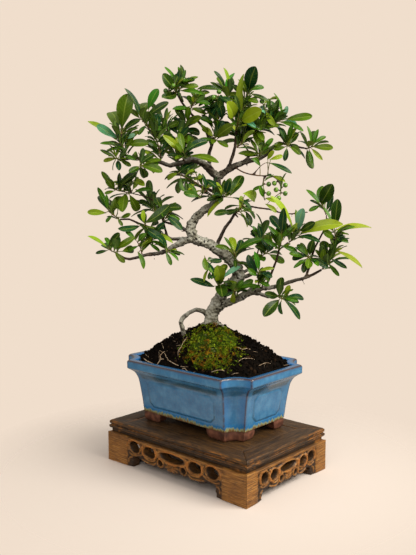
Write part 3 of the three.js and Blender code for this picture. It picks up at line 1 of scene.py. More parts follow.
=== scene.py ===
# %% [markdown]
# # A firethorn bonsai in a glazed pot on a carved stand
# The solid model gives every piece its place and size. Each step below takes one of its pieces and makes
# the surface that the eye sees: carved wood, running glaze, crumbly soil, bark and glossy leaves.

# %% Load the solid model
import math

import bmesh
import bpy
import numpy as np
from mathutils import Matrix, Vector, noise
from mathutils.bvhtree import BVHTree
from mathutils.geometry import delaunay_2d_cdt


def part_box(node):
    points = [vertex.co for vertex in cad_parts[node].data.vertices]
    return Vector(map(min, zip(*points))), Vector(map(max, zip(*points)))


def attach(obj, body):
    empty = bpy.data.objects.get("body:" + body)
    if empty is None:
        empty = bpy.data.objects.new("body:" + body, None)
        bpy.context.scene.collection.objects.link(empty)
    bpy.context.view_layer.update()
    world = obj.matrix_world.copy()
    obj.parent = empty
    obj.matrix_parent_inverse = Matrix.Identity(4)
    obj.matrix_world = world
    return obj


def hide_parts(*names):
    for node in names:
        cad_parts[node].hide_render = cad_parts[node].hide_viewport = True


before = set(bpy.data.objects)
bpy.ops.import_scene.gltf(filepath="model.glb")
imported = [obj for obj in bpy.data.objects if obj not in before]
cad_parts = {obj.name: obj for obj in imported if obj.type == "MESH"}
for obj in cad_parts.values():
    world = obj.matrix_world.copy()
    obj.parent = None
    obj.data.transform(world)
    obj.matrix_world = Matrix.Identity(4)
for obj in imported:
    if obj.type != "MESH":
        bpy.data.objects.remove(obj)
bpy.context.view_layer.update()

MM = 0.001
print("solid pieces:", len(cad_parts))

# %% [markdown]
# ## Small helpers
# Colours are read off a picture as sRGB hex values, but light adds up in linear values, so one function
# turns the one into the other. Another adds a shader node with its settings and links: "Mix" blends its
# colours 6 and 7 by input 0, "MapRange" moves a value from one range to another, and "ValToRGB" picks a
# colour between stops.

# %% Colour and shader helpers
def linear(hex_colour):
    """An sRGB hex value as a linear colour with alpha."""
    channels = [int(hex_colour[i:i + 2], 16) / 255 for i in (1, 3, 5)]
    return tuple(c / 12.92 if c <= 0.04045 else ((c + 0.055) / 1.055) ** 2.4 for c in channels) + (1.0,)


def add_node(tree, kind, inputs=(), stops=(), **settings):
    """Add a shader node with its settings, its values or links, and its colour stops."""
    node = tree.nodes.new("ShaderNode" + kind)
    for key, value in settings.items():
        setattr(node, key, value)
    for key, value in inputs.items() if isinstance(inputs, dict) else enumerate(inputs):
        if isinstance(value, bpy.types.NodeSocket):
            tree.links.new(value, node.inputs[key])
        else:
            node.inputs[key].default_value = linear(value) if isinstance(value, str) else value
    if stops:
        elements = node.color_ramp.elements
        while len(elements) < len(stops):
            elements.new(0.5)
        for element, (place, colour) in zip(elements, stops):
            element.position = place
            element.color = linear(colour)
    return node


def new_material(name, **shader_values):
    """A material with its node tree and its main shader."""
    material = bpy.data.materials.new(name)
    material.use_nodes = True
    shader = material.node_tree.nodes["Principled BSDF"]
    for key, value in shader_values.items():
        shader.inputs[key.replace("_", " ")].default_value = value
    return material, material.node_tree, shader


print("helpers ready, mid grey is", [round(v, 3) for v in linear("#808080")])

# %% [markdown]
# A piece is gathered as points in millimetres, faces, a material number for each face, and the values that
# its material reads at each point. Then one function makes the mesh, fixes it to the object and hides the
# solid it stands for.

# %% Gather and make pieces
class Gather:
    def __init__(self):
        self.points, self.faces, self.kinds, self.tints, self.maps = [], [], [], [], []
        self.count = 0

    def add(self, points, faces, kind=0, tint=(0, 0, 0, 0), place=None):
        points = np.asarray(points, float)
        self.faces += [tuple(int(i) + self.count for i in face) for face in faces]
        self.kinds += [kind] * len(faces)
        self.points.append(points)
        self.tints.append(np.broadcast_to(np.asarray(tint, float), (len(points), 4)))
        self.maps.append(np.zeros((len(points), 3)) if place is None else np.asarray(place, float))
        self.count += len(points)

    def make(self, name, materials, replaced=(), smooth=True, angle=None):
        mesh = bpy.data.meshes.new(name)
        mesh.from_pydata((np.vstack(self.points) * MM).tolist(), [], self.faces)
        mesh.polygons.foreach_set("material_index", self.kinds)
        for title, kind, key, values in (("tint", "FLOAT_COLOR", "color", self.tints),
                                         ("place", "FLOAT_VECTOR", "vector", self.maps)):
            layer = mesh.attributes.new(title, kind, "POINT")
            layer.data.foreach_set(key, np.vstack(values).ravel())
        mesh.validate()
        mesh.polygons.foreach_set("use_smooth", [smooth] * len(mesh.polygons))
        if angle:
            mesh.set_sharp_from_angle(angle=math.radians(angle))
        piece = bpy.data.objects.new(name, mesh)
        bpy.context.scene.collection.objects.link(piece)
        for material in materials:
            mesh.materials.append(material)
        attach(piece, "root")
        if replaced:
            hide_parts(*replaced)


def tint_channels(tree):
    """The red, green and blue values that a piece carries at each point."""
    tint = add_node(tree, "Attribute", attribute_name="tint")
    return add_node(tree, "SeparateColor", {"Color": tint.outputs["Color"]}).outputs


def welded(node_name):
    """A solid piece as one connected shape, its doubled points joined."""
    shape = bmesh.new()
    shape.from_mesh(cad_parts[node_name].data)
    bmesh.ops.remove_doubles(shape, verts=shape.verts, dist=0.001 * MM)
    shape.verts.ensure_lookup_table()
    return shape


def shape_arrays(shape):
    """Points in millimetres and faces of a shape."""
    shape.verts.index_update()
    points = np.array([v.co[:] for v in shape.verts]) / MM
    return points, [[v.index for v in face.verts] for face in shape.faces]


def ring_faces(rings, count):
    """Four-cornered faces between closed rings of points that follow each other."""
    return [(start + i, start + (i + 1) % count, start + count + (i + 1) % count, start + count + i)
            for start in range(0, (rings - 1) * count, count) for i in range(count)]


def noise_at(points, scale, shift=0.0):
    """Smooth noise between about -1 and 1 at each point; its lumps are about 1 / scale mm wide."""
    return np.array([noise.noise(Vector(p)) for p in np.asarray(points) * scale + shift])


print("a piece holds points, faces, tints and places")

# %% [markdown]
# ## Camera
# The photograph was taken from in front of the stand's right corner, a little above the pot. The stand's
# corners give the viewpoint, so the camera stands where the photographer did.

# %% Camera
left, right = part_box("apron_left"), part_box("apron_right")
front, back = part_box("apron_front"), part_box("apron_back")
MIDDLE = np.array([left[0].x + right[1].x, front[0].y + back[1].y, 0.0]) / 2 / MM
TURN, RISE, FOCAL_LENGTH = math.radians(41.7), math.radians(5.95), 45.47
ACROSS = np.array([math.cos(TURN), math.sin(TURN), 0.0])
TOWARD = np.array([math.sin(TURN), -math.cos(TURN), 0.0])
UP = np.array([0.0, 0.0, 1.0])
EYE_ACROSS, EYE_AWAY, EYE_HEIGHT = -7.8, 765.7, 291.2
EYE = MIDDLE + ACROSS * EYE_ACROSS + TOWARD * EYE_AWAY + UP * EYE_HEIGHT

lens = bpy.data.cameras.new("viewpoint")
lens.lens = FOCAL_LENGTH
lens.clip_start = 0.01
camera = bpy.data.objects.new("viewpoint", lens)
bpy.context.scene.collection.objects.link(camera)
backward = Vector(TOWARD * math.cos(RISE) + UP * math.sin(RISE))
sideways = Vector(ACROSS)
axes = Matrix((sideways, backward.cross(sideways), backward)).transposed()
camera.matrix_world = Matrix.Translation(Vector(EYE * MM)) @ axes.to_4x4()
bpy.context.scene.camera = camera
print("stand's middle in mm:", MIDDLE.round(2))

# %% [markdown]
# ## Floor and light
# A pale seamless sweep of paper is simplest as one wide disc of matt cream that turns clear away from the
# stand. It catches the soft shadow near the stand and has no visible edge against the background.

# %% Floor
FLOOR_RADIUS, FADES_FROM, FADES_TO = 1.6, 0.11, 0.3
floor_paint, tree, shader = new_material("matt cream paper", Roughness=0.9, Specular_IOR_Level=0.1)
place = add_node(tree, "TexCoord").outputs["Object"]
distance = add_node(tree, "VectorMath", {0: place}, operation="LENGTH").outputs["Value"]
shader.inputs["Base Color"].default_value = linear("#DACEC5")
clear = add_node(tree, "BsdfTransparent").outputs["BSDF"]
amount = add_node(tree, "MapRange", [distance, FADES_FROM, FADES_TO]).outputs[0]
fade = add_node(tree, "MixShader", {0: amount, 1: shader.outputs["BSDF"], 2: clear})
tree.links.new(fade.outputs["Shader"], tree.nodes["Material Output"].inputs["Surface"])
disc = bmesh.new()
bmesh.ops.create_circle(disc, cap_ends=True, segments=96, radius=FLOOR_RADIUS)
floor_mesh = bpy.data.meshes.new("floor")
disc.to_mesh(floor_mesh)
floor = bpy.data.objects.new("floor", floor_mesh)
floor.location = Vector(MIDDLE * MM)
bpy.context.scene.collection.objects.link(floor)
floor_mesh.materials.append(floor_paint)
print("floor:", floor_paint.name, "out to", FLOOR_RADIUS, "m")

# %% [markdown]
# A studio's walls light an object from all sides, but a camera only sees the paper behind it. So the
# surround has two tones: a dimmer one that lights the tree, which keeps the gaps in the crown dark, and the
# paper's own cream where the camera looks past it. Two large lamps stand in for a window and a reflector.

# %% Light
world = bpy.data.worlds.new("soft surround")
bpy.context.scene.world = world
world.use_nodes = True
tree = world.node_tree
surround = tree.nodes["Background"]
direction = add_node(tree, "TexCoord").outputs["Generated"]
upward = add_node(tree, "SeparateXYZ", {"Vector": direction}).outputs["Z"]
amount = add_node(tree, "MapRange", [upward, -0.2, 0.7]).outputs[0]
room = add_node(tree, "Mix", {0: amount, 6: "#8E857A", 7: "#BCB8B2"}, data_type="RGBA").outputs[2]
seen = add_node(tree, "LightPath").outputs["Is Camera Ray"]
paper = add_node(tree, "Mix", {0: seen, 6: room, 7: "#F0DECC"}, data_type="RGBA").outputs[2]
tree.links.new(paper, surround.inputs["Color"])
surround.inputs["Strength"].default_value = 1.0
bpy.context.scene.view_settings.view_transform = "Standard"
LAMP_AIM = 0.2


def lamp(name, across, toward, height, size, watts, colour):
    """A square lamp at a place of the view, in metres, aimed at the middle of the tree."""
    light = bpy.data.lights.new(name, "AREA")
    light.size = size
    light.energy = watts
    light.color = linear(colour)[:3]
    holder = bpy.data.objects.new(name, light)
    bpy.context.scene.collection.objects.link(holder)
    stands_at = Vector((MIDDLE * MM) + ACROSS * across + TOWARD * toward + UP * height)
    aims_at = Vector(MIDDLE * MM + UP * LAMP_AIM)
    holder.location = stands_at
    holder.rotation_euler = (stands_at - aims_at).to_track_quat("Z", "Y").to_euler()


lamp("right window", across=0.9, toward=0.45, height=1.0, size=0.9, watts=24, colour="#FFFAF0")
lamp("front fill", across=-0.3, toward=1.3, height=0.9, size=1.0, watts=8, colour="#FFFCF8")
print("lamps:", len(bpy.data.lights))

# %% [markdown]
# ## Wood of the stand
# The stand is an old hardwood piece, stained dark on top and rubbed to a golden brown at the sides. Its
# grain is coarse and open, and runs along every board, so the pattern is stretched along each board's own
# length: pores about 0.5 mm wide and 10 mm long. Carved hollows hold dark wax, and rubbed edges are orange.
# The same dark tone is painted as shade along cut edges, on the backs of the aprons and on the sides of the
# top's boards below their top face. A board finished with wax has a low, soft sheen, duller in the open
# grain.

# %% Stand wood
STREAK, PORE = (0.05, 0.9, 1.0), (0.12, 1.9, 2.1)


def stand_wood(name, dark, middle, light, waxed_and_shaded, rubbed, roughness):
    """Open-grained wood: streaks, darker broad bands and pores, with wax, painted shade and rubbed edges on
    top.
    """
    material, tree, shader = new_material(name, IOR=1.5, Specular_IOR_Level=0.4)
    board = add_node(tree, "Attribute", attribute_name="place").outputs["Vector"]
    long_way = add_node(tree, "Mapping", {"Vector": board, "Scale": STREAK}).outputs["Vector"]
    streaks = add_node(tree, "TexNoise", {"Vector": long_way, "Scale": 1.0, "Detail": 6.0,
                                          "Roughness": 0.65}).outputs["Fac"]
    broad = add_node(tree, "TexNoise", {"Vector": board, "Scale": 0.045, "Detail": 3.0}).outputs["Fac"]
    pore_way = add_node(tree, "Mapping", {"Vector": board, "Scale": PORE}).outputs["Vector"]
    pores = add_node(tree, "TexNoise", {"Vector": pore_way, "Scale": 1.0, "Detail": 3.0}).outputs["Fac"]
    colour = add_node(tree, "ValToRGB", [streaks],
                      stops=[(0.32, dark), (0.5, middle), (0.7, light)]).outputs[0]
    amount = add_node(tree, "MapRange", [broad, 0.45, 0.7, 0.0, 0.45]).outputs[0]
    colour = add_node(tree, "Mix", {0: amount, 6: colour, 7: dark}, data_type="RGBA").outputs[2]
    amount = add_node(tree, "MapRange", [pores, 0.42, 0.34, 0.0, 0.75]).outputs[0]
    colour = add_node(tree, "Mix", {0: amount, 6: colour, 7: waxed_and_shaded}, data_type="RGBA").outputs[2]
    tint = tint_channels(tree)
    # The tint's green lays on the dark tone: wax in carved hollows, and painted shade at cut edges, on backs
    # and low sides.
    colour = add_node(tree, "Mix", {0: tint["Green"], 6: colour, 7: waxed_and_shaded}, data_type="RGBA").outputs[2]
    colour = add_node(tree, "Mix", {0: tint["Red"], 6: colour, 7: rubbed}, data_type="RGBA").outputs[2]
    tree.links.new(colour, shader.inputs["Base Color"])
    shine = add_node(tree, "MapRange", [streaks, 0.3, 0.7, roughness + 0.12, roughness - 0.06]).outputs[0]
    tree.links.new(shine, shader.inputs["Roughness"])
    amount = add_node(tree, "MapRange", [pores, 0.34, 0.45]).outputs[0]
    relief = add_node(tree, "Math", {0: streaks, 1: amount}, operation="ADD")
    bump = add_node(tree, "Bump", {"Height": relief.outputs[0], "Strength": 0.55, "Distance": 0.35 * MM})
    tree.links.new(bump.outputs["Normal"], shader.inputs["Normal"])
    return material


golden_wood = stand_wood("waxed golden hardwood", dark="#3E2209", middle="#8C5A20", light="#BC8A44",
                         waxed_and_shaded="#150A03", rubbed="#AC661F", roughness=0.5)
dark_wood = stand_wood("stained dark hardwood", dark="#1E1307", middle="#432C11", light="#6E4C22",
                       waxed_and_shaded="#0D0703", rubbed="#9C6224", roughness=0.48)
print("stand woods:", golden_wood.name, "and", dark_wood.name)

# %% [markdown]
# ## Carved aprons
# Each side of the stand is one board, sawn to an outline, pierced, and then carved in low relief. The board
# is filled with small triangles inside its outline, and each point is then raised or sunk by the carving:
# rolled rims round the openings, scrolls that link them, and a flower below the middle opening.

# %% Apron outlines
LONG = dict(half=101.09, foot=61.0, notch=13.0, low=8.8, scallops=4, middle=(25, 16.5, 4.4),
            ovals=[(57, 24.5, 7.6, 6.2), (33.5, 23.5, 8.8, 5.4), (17, 16, 3, 3)])
SHORT = dict(half=69.79, foot=43.0, notch=10.2, low=6.8, scallops=3, middle=(23.5, 12.5, 3.8),
             ovals=[(41, 22.5, 6, 5.4), (25.5, 21.5, 6, 5), (12.5, 13.8, 2.6, 2.6)])
BOARD, APRON_TOP = 11.0, 33.0
EDGE_STEP, END_STEP = 0.8, 2.5


def smooth_line(points, step):
    """A curve through the points, as points about a step apart."""
    points = np.asarray(points, float)
    padded = np.vstack([2 * points[0] - points[1], points, 2 * points[-1] - points[-2]])
    out = []
    for a, b, c, d in zip(padded, padded[1:], padded[2:], padded[3:]):
        for t in np.linspace(0, 1, max(2, int(np.linalg.norm(c - b) / step) + 1))[:-1]:
            out.append(0.5 * (2 * b + (c - a) * t + (2 * a - 5 * b + 4 * c - d) * t * t
                              + (3 * b - a - 3 * c + d) * t ** 3))
    return np.array(out + [points[-1]])


def lower_edge(shape):
    """The scalloped lower edge of an apron, with the hook that runs down to each foot."""
    reach = shape["foot"] - 15
    span = reach / shape["scallops"]
    edge = [(0, shape["low"] + 1.0)]
    for i in range(shape["scallops"]):
        edge.append((span * (i + 0.5), shape["low"]))
        edge.append((span * (i + 1), shape["low"] + (1.4 if i < shape["scallops"] - 1 else 1.8)))
    edge += [(reach + 5, shape["notch"]), (shape["foot"] - 3, shape["notch"])]
    hook = [(shape["foot"] + 0.4, shape["notch"] - 3), (shape["foot"] - 0.9, 6), (shape["foot"] + 0.6, 4.2),
            (shape["foot"] + 0.2, 0.3)]
    half = np.vstack([smooth_line(edge, EDGE_STEP), smooth_line(hook, EDGE_STEP)])
    return np.vstack([(half * [-1, 1])[:0:-1], half])


def oval(x, z, rx, rz):
    """An opening, a little uneven as cut by hand."""
    turn = np.linspace(0, 2 * np.pi, 36, endpoint=False)
    wobble = 1 + 0.05 * np.sin(3 * turn + x) + 0.03 * np.sin(5 * turn + 2 * x)
    return np.column_stack([x + rx * wobble * np.cos(turn), z + rz * wobble * np.sin(turn)])


def apron_loops(shape):
    """Outline and openings of an apron, seen from outside."""
    half = shape["half"]
    sides = np.arange(END_STEP, APRON_TOP, END_STEP)
    top = np.arange(half - END_STEP, -half, -END_STEP)
    outer = np.vstack([[[-half, 0]], lower_edge(shape), [[half, 0]], [(half, z) for z in sides],
                       [[half, APRON_TOP]], [(x, APRON_TOP) for x in top], [[-half, APRON_TOP]],
                       [(-half, z) for z in sides[::-1]]])
    ovals = [(s * x, z, rx, rz) for x, z, rx, rz in shape["ovals"] for s in (-1, 1)]
    ovals.append((0.0, *shape["middle"]))
    return [outer] + [oval(*o) for o in ovals], ovals


loops, ovals = apron_loops(LONG)
print("long apron: outline", len(loops[0]), "points, openings", len(ovals))

# %% [markdown]
# A carved face needs points everywhere, not only on its outline. A grid of staggered points keeps a little
# off the border, a Delaunay triangulation joins them, and triangles that lie in an opening are dropped.

# %% Fill an outline with small triangles
def inside(points, loop):
    """Which points lie inside a closed loop."""
    x, z = points[:, 0], points[:, 1]
    hit = np.zeros(len(points), bool)
    for (x0, z0), (x1, z1) in zip(loop, np.roll(loop, -1, 0)):
        crosses = (z0 > z) != (z1 > z)
        if z0 != z1:
            hit ^= crosses & (x < x0 + (z - z0) * (x1 - x0) / (z1 - z0))
    return hit


def edge_distance(points, edge):
    """Distance from each point to the nearest of the edge's points."""
    out = np.empty(len(points))
    for start in range(0, len(points), 2000):
        part = points[start:start + 2000]
        out[start:start + 2000] = np.sqrt(((part[:, None] - edge[None]) ** 2).sum(2).min(1))
    return out


def fill(loops, step):
    """Points and triangles that fill the first loop and leave out the others."""
    border = np.vstack(loops)
    low, high = border.min(0), border.max(0)
    rows = np.arange(low[1], high[1], step * 0.87)
    grid = np.array([(x + (k % 2) * step / 2, z) for k, z in enumerate(rows)
                     for x in np.arange(low[0], high[0], step)])
    keep = inside(grid, loops[0])
    for hole in loops[1:]:
        keep &= ~inside(grid, hole)
    grid = grid[keep]
    grid = grid[edge_distance(grid, border) > step * 0.55]
    edges, first = [], 0
    for loop in loops:
        edges += [(first + i, first + (i + 1) % len(loop)) for i in range(len(loop))]
        first += len(loop)
    every = [Vector(p) for p in np.vstack([border, grid])]
    points, _, faces, *_ = delaunay_2d_cdt(every, edges, [], 2, 1e-4)
    points = np.array([p[:] for p in points])
    middle = points[np.array(faces)].mean(1)
    solid = inside(middle, loops[0])
    for hole in loops[1:]:
        solid &= ~inside(middle, hole)
    faces = [f for f, keep_it in zip(faces, solid) if keep_it]
    return points, faces


def border_edges(faces):
    """Edges that belong to one face only."""
    seen = {}
    for face in faces:
        for a, b in zip(face, face[1:] + face[:1]):
            seen[(a, b)] = True
    return [(a, b) for a, b in seen if (b, a) not in seen]


print("long apron fills with", len(fill(loops, 1.0)[1]), "triangles")

# %% [markdown]
# A carver sinks the ground round the openings by about 1.5 mm and leaves rims, vines and a flower standing.
# Each form is a bell curve across its own line, added up, so that forms which meet flow into each other.

# %% Relief of the carving
SUNK, RIM_RISE, VINE_RISE, HIGHEST = 1.5, 1.8, 1.7, 0.95
VINES = [[(66, 16), (60, 14.5), (53, 15.5), (46, 18), (43, 23), (45, 28)],
         [(44, 28), (43, 20), (38, 15), (30, 14.5), (25, 17), (23, 22), (24, 27)],
         [(24, 14), (28, 11.5), (34, 11), (40, 12), (45, 13)],
         [(67, 20), (69, 25), (66, 30)], [(62, 12), (66, 10), (67, 6)]]
PETALS = 11


def near_line(points, line, width):
    """1 on a line, falling to 0 within about two widths."""
    return np.exp(-(edge_distance(points, smooth_line(line, 0.4)) / width) ** 2)


def carving(points, shape, ovals, drop_edge):
    """Height of the relief at each point, in mm outwards."""
    x, z = points[:, 0], points[:, 1]
    side = np.abs(x)
    zone = 1 / (1 + np.exp((side - shape["foot"] - 8) / 0.9)) / (1 + np.exp((z - APRON_TOP + 3.2) / 0.4))
    height = -SUNK * zone
    for cx, cz, rx, rz in ovals:
        reach = np.hypot((x - cx) / rx, (z - cz) / rz)
        gap = (reach - 1) * min(rx, rz) * 0.9
        height += RIM_RISE * np.exp(-((gap - 1.2) / 0.9) ** 2)
    scale = shape["foot"] / LONG["foot"]
    mirrored = np.column_stack([side, z])
    low = shape["low"]
    for vine in VINES:
        line = [(a * scale, low + (b - LONG["low"]) * (APRON_TOP - low) / (APRON_TOP - LONG["low"]))
                for a, b in vine]
        height += VINE_RISE * near_line(mirrored, line, 1.0)
    centre = low + 0.25 * (APRON_TOP - low) + 1.0
    away = np.hypot(x, (z - centre) * 1.35)
    angle = np.arctan2((z - centre) * 1.35, x)
    bloom = np.exp(-(away / (9.5 * scale)) ** 4)
    height += bloom * (1.6 + 0.8 * np.cos(PETALS * angle) * np.minimum(away / 4, 1))
    height -= 0.9 * np.exp(-(away / 1.8) ** 2)
    gouges = noise_at(np.column_stack([points, np.full(len(points), 4.0)]), [0.22, 0.35, 1.0])
    height += 0.5 * gouges * zone + 0.1 * gouges
    height = np.minimum(height, HIGHEST)
    return height - 0.7 * np.exp(-(drop_edge / 0.55) ** 2)


print("carving with", len(VINES), "vines on each half")

# %% [markdown]
# The carved face and a plain back are joined by walls along the outline and the openings. The ends of a
# board lean in, because the corners are mitred. Low places are tinted dark with wax and high ones orange;
# the face along every cut edge and the whole back get the dark tone as painted shade.

# %% Make the aprons
def apron(name, shape, outer_face, turns):
    """One carved board; outer_face is its distance from the stand's middle, turns its quarter turns."""
    loops, ovals = apron_loops(shape)
    points, faces = fill(loops, 0.8)
    edge = np.vstack(loops)
    drop = edge_distance(points, edge)
    at_end = np.abs(points[:, 0]) > shape["half"] - 0.4
    drop[at_end] = 9
    height = carving(points, shape, ovals, drop)
    height[at_end] = 0
    knee, half = shape["foot"] + 12, shape["half"]
    behind = points.copy()
    outer = np.abs(points[:, 0]) > knee
    behind[outer, 0] = np.sign(points[outer, 0]) * (
        knee + (np.abs(points[outer, 0]) - knee) * (half - BOARD - knee) / (half - knee))
    face_points = np.column_stack([points[:, 0], -outer_face - height, points[:, 1]])
    back_points = np.column_stack([behind[:, 0], np.full(len(points), -outer_face + BOARD), points[:, 1]])
    count = len(points)
    walls = [(b, a, a + count, b + count) for a, b in border_edges(faces)]
    every = [tuple(f) for f in faces] + [tuple(i + count for i in f[::-1]) for f in faces] + walls
    both = np.vstack([face_points, back_points])
    angle = turns * math.pi / 2
    c, s = math.cos(angle), math.sin(angle)
    world_points = both @ np.array([[c, s, 0], [-s, c, 0], [0, 0, 1]]) + MIDDLE
    tint = np.zeros((2 * count, 4))
    zone = np.abs(points[:, 0]) < shape["foot"] + 10
    # Dark wax in the sunk ground, and painted shade on the face along the cut edges.
    hollow = np.clip(-(height + 0.3) / 0.8, 0, 1) * zone
    hollow = np.maximum(hollow, 0.65 * np.exp(-(drop / 0.8) ** 2) * zone)
    tint[:count, 0] = np.clip((height - 0.2) / 1.2, 0, 0.6) * zone
    tint[:count, 1] = hollow * 0.9
    # Painted shade over the whole back of the board.
    tint[count:, 1] = 0.6
    piece = Gather()
    piece.add(world_points, every, 0, tint, both + [0, 0, 90 * turns])
    piece.make(name, [golden_wood], [f"apron_{name.split('_')[-1]}"], angle=55)
    return len(every)


total = apron("carved_apron_front", LONG, 70.0, 0) + apron("carved_apron_back", LONG, 70.0, 2)
total += apron("carved_apron_right", SHORT, 101.3, 1) + apron("carved_apron_left", SHORT, 101.3, 3)
print("faces of the four carved aprons:", total)

# %% [markdown]
# ## Top of the stand
# The top is a frame of four mitred rails round a loose panel. The solid pieces already have the right
# section, so each is cut across every few millimetres and its edges are rounded and worn a little by hand.

# %% Rails and panel
CUT_EVERY, EDGE_ROUND, SHARP_ANGLE = 3.0, 0.35, 0.6


def worn_board(name, node_name, along, material):
    """A solid board, cut across finely, with rounded and worn edges."""
    shape = welded(node_name)
    low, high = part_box(node_name)
    axis = Vector([1 if i == along else 0 for i in range(3)])
    for place in np.arange(low[along] + CUT_EVERY * MM, high[along] - 1 * MM, CUT_EVERY * MM):
        point = Vector([place if i == along else 0 for i in range(3)])
        bmesh.ops.bisect_plane(shape, geom=shape.verts[:] + shape.edges[:] + shape.faces[:], dist=1e-6,
                               plane_co=point, plane_no=axis)
    sharp = [e for e in shape.edges if len(e.link_faces) == 2 and e.calc_face_angle() > SHARP_ANGLE]
    bmesh.ops.bevel(shape, geom=sharp, offset=EDGE_ROUND * MM, segments=2, affect="EDGES", profile=0.6)
    shape.normal_update()
    rubbed = [max((e.calc_face_angle(0) for e in v.link_edges), default=0) > 0.3 for v in shape.verts]
    points, faces = shape_arrays(shape)
    wear, fine = noise_at(points, 0.11), noise_at(points, 0.45)
    normals = np.array([v.normal[:] for v in shape.verts])
    edge = np.array(rubbed, float)
    points = points + normals * (0.18 * fine * (0.3 + edge) - 0.22 * edge * np.clip(wear, 0, 1))[:, None]
    tint = np.zeros((len(points), 4))
    tint[:, 0] = edge * np.clip(0.3 + 1.3 * wear + 1.2 * fine, 0, 0.95)
    # Painted shade: below their top face the boards' sides are darkened, so gaps and grooves look dark.
    tint[:, 1] = (1 - edge) * (points[:, 2] < high.z / MM - 2.5) * 0.55
    inner = points - MIDDLE
    board = inner if along == 0 else inner[:, [1, 0, 2]]
    piece = Gather()
    piece.add(points, faces, 0, tint, board + [0, 0, 37 * len(node_name)])
    piece.make(name, [material], [node_name], angle=50)
    return len(faces)


for side, along in (("front", 0), ("back", 0), ("left", 1), ("right", 1)):
    rail_faces = worn_board(f"moulded_rail_{side}", f"top_rail_{side}", along, dark_wood)
    print(side, "rail:", rail_faces)
print("panel:", worn_board("floating_panel", "top_panel", 0, dark_wood))

# %% [markdown]
# ## Pot
# The pot is pressed stoneware under a running blue glaze. The mould leaves a flared rim, a hollow corner and
# a raised panel on each side. Where the glaze runs thin over an edge the iron in the clay shows brown, and
# where it gathers, inside the rim and at the foot, it is a deeper blue with a pale green hem.

# %% Pot outline
pot_low, pot_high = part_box("pot")
POT_MIDDLE = np.array([(pot_low.x + pot_high.x) / 2, (pot_low.y + pot_high.y) / 2]) / MM
HALF_LENGTH = (pot_high.x - pot_low.x) / 2 / MM
HALF_DEPTH = (pot_high.y - pot_low.y) / 2 / MM
POT_BASE, POT_FLOOR, RIM_TOP = 57.4, 64.0, pot_high.z / MM
NOTCH, NOTCH_SHRINK, ARC_STEPS = 22.5, 0.45, 12
LONG_STEPS, SHORT_STEPS = 84, 56


def pot_outline(inset):
    """Plan of the pot at an inset, with how far each point is from a notch's edge and which side it is on."""
    half_long, half_short = HALF_LENGTH - inset, HALF_DEPTH - inset
    notch = NOTCH - NOTCH_SHRINK * inset
    points, arris, side = [], [], []
    for corner, (sx, sy) in enumerate([(1, -1), (1, 1), (-1, 1), (-1, -1)]):
        for i in range(ARC_STEPS + 1):
            step = i if sx * sy < 0 else ARC_STEPS - i
            angle = math.pi / 2 * step / ARC_STEPS
            points.append((sx * (half_long - notch * math.cos(angle)),
                           sy * (half_short - notch * math.sin(angle))))
            arris.append(min(i, ARC_STEPS - i) * notch * math.pi / 2 / ARC_STEPS)
            side.append(0)
        steps = SHORT_STEPS if corner % 2 == 0 else LONG_STEPS
        x, y = points[-1]
        to = (x, -y) if corner % 2 == 0 else (-x, y)
        length = 2 * abs(y if corner % 2 == 0 else x)
        for i in range(1, steps):
            t = i / steps
            points.append((x + (to[0] - x) * t, y + (to[1] - y) * t))
            arris.append(min(t, 1 - t) * length)
            side.append(1 if corner % 2 == 0 else 2)
    return np.array(points), np.array(arris), np.array(side)


plan, arris, side = pot_outline(0)
print("pot plan has", len(plan), "points; half sizes", round(HALF_LENGTH, 2), round(HALF_DEPTH, 2))

# %% [markdown]
# The wall is a stack of plans, one at each height of the profile, up the outside, over the rim and down the
# inside. Moving each plan in or out by fractions of a millimetre gives the panels, their cut line and the
# soft unevenness of pressed clay. Each point also carries how brown and how blue its glaze is, and how much
# painted shade darkens it.

# %% Pot profile and panels
OUTER = [(17, 57.4), (16.4, 62), (14.9, 75), (12.6, 90), (11.4, 95.5), (10.2, 98.5), (8.4, 101.8), (6, 104.6),
         (3.6, 106.4), (1.6, 107.6), (0.5, 108.3), (0, 109.3), (0.05, 112), (0, 115.4), (0.3, 116.6),
         (1.1, 117.3), (2.2, RIM_TOP)]
INNER = [(7.2, RIM_TOP), (8.3, 117.0), (9, 116.0), (9.6, 113.6), (10.6, 110), (18.2, 90), (23, POT_FLOOR)]
PANEL_IN, PANEL_LOW, PANEL_HIGH, PANEL_CUT = 13.0, 64.5, 94.5, 5.5


def panel_line(reach, height):
    """Distance from the edge line of a panel with cut corners; reach is the distance from the side's end."""
    across = reach - PANEL_IN
    low, high = across * 0 + height - PANEL_LOW, across * 0 + PANEL_HIGH - height
    corner_low = (across + low - PANEL_CUT) / math.sqrt(2)
    corner_high = (across + high - PANEL_CUT) / math.sqrt(2)
    return np.minimum.reduce([across, low, high, corner_low, corner_high])


print("wall profile:", len(OUTER), "outer and", len(INNER), "inner stations")
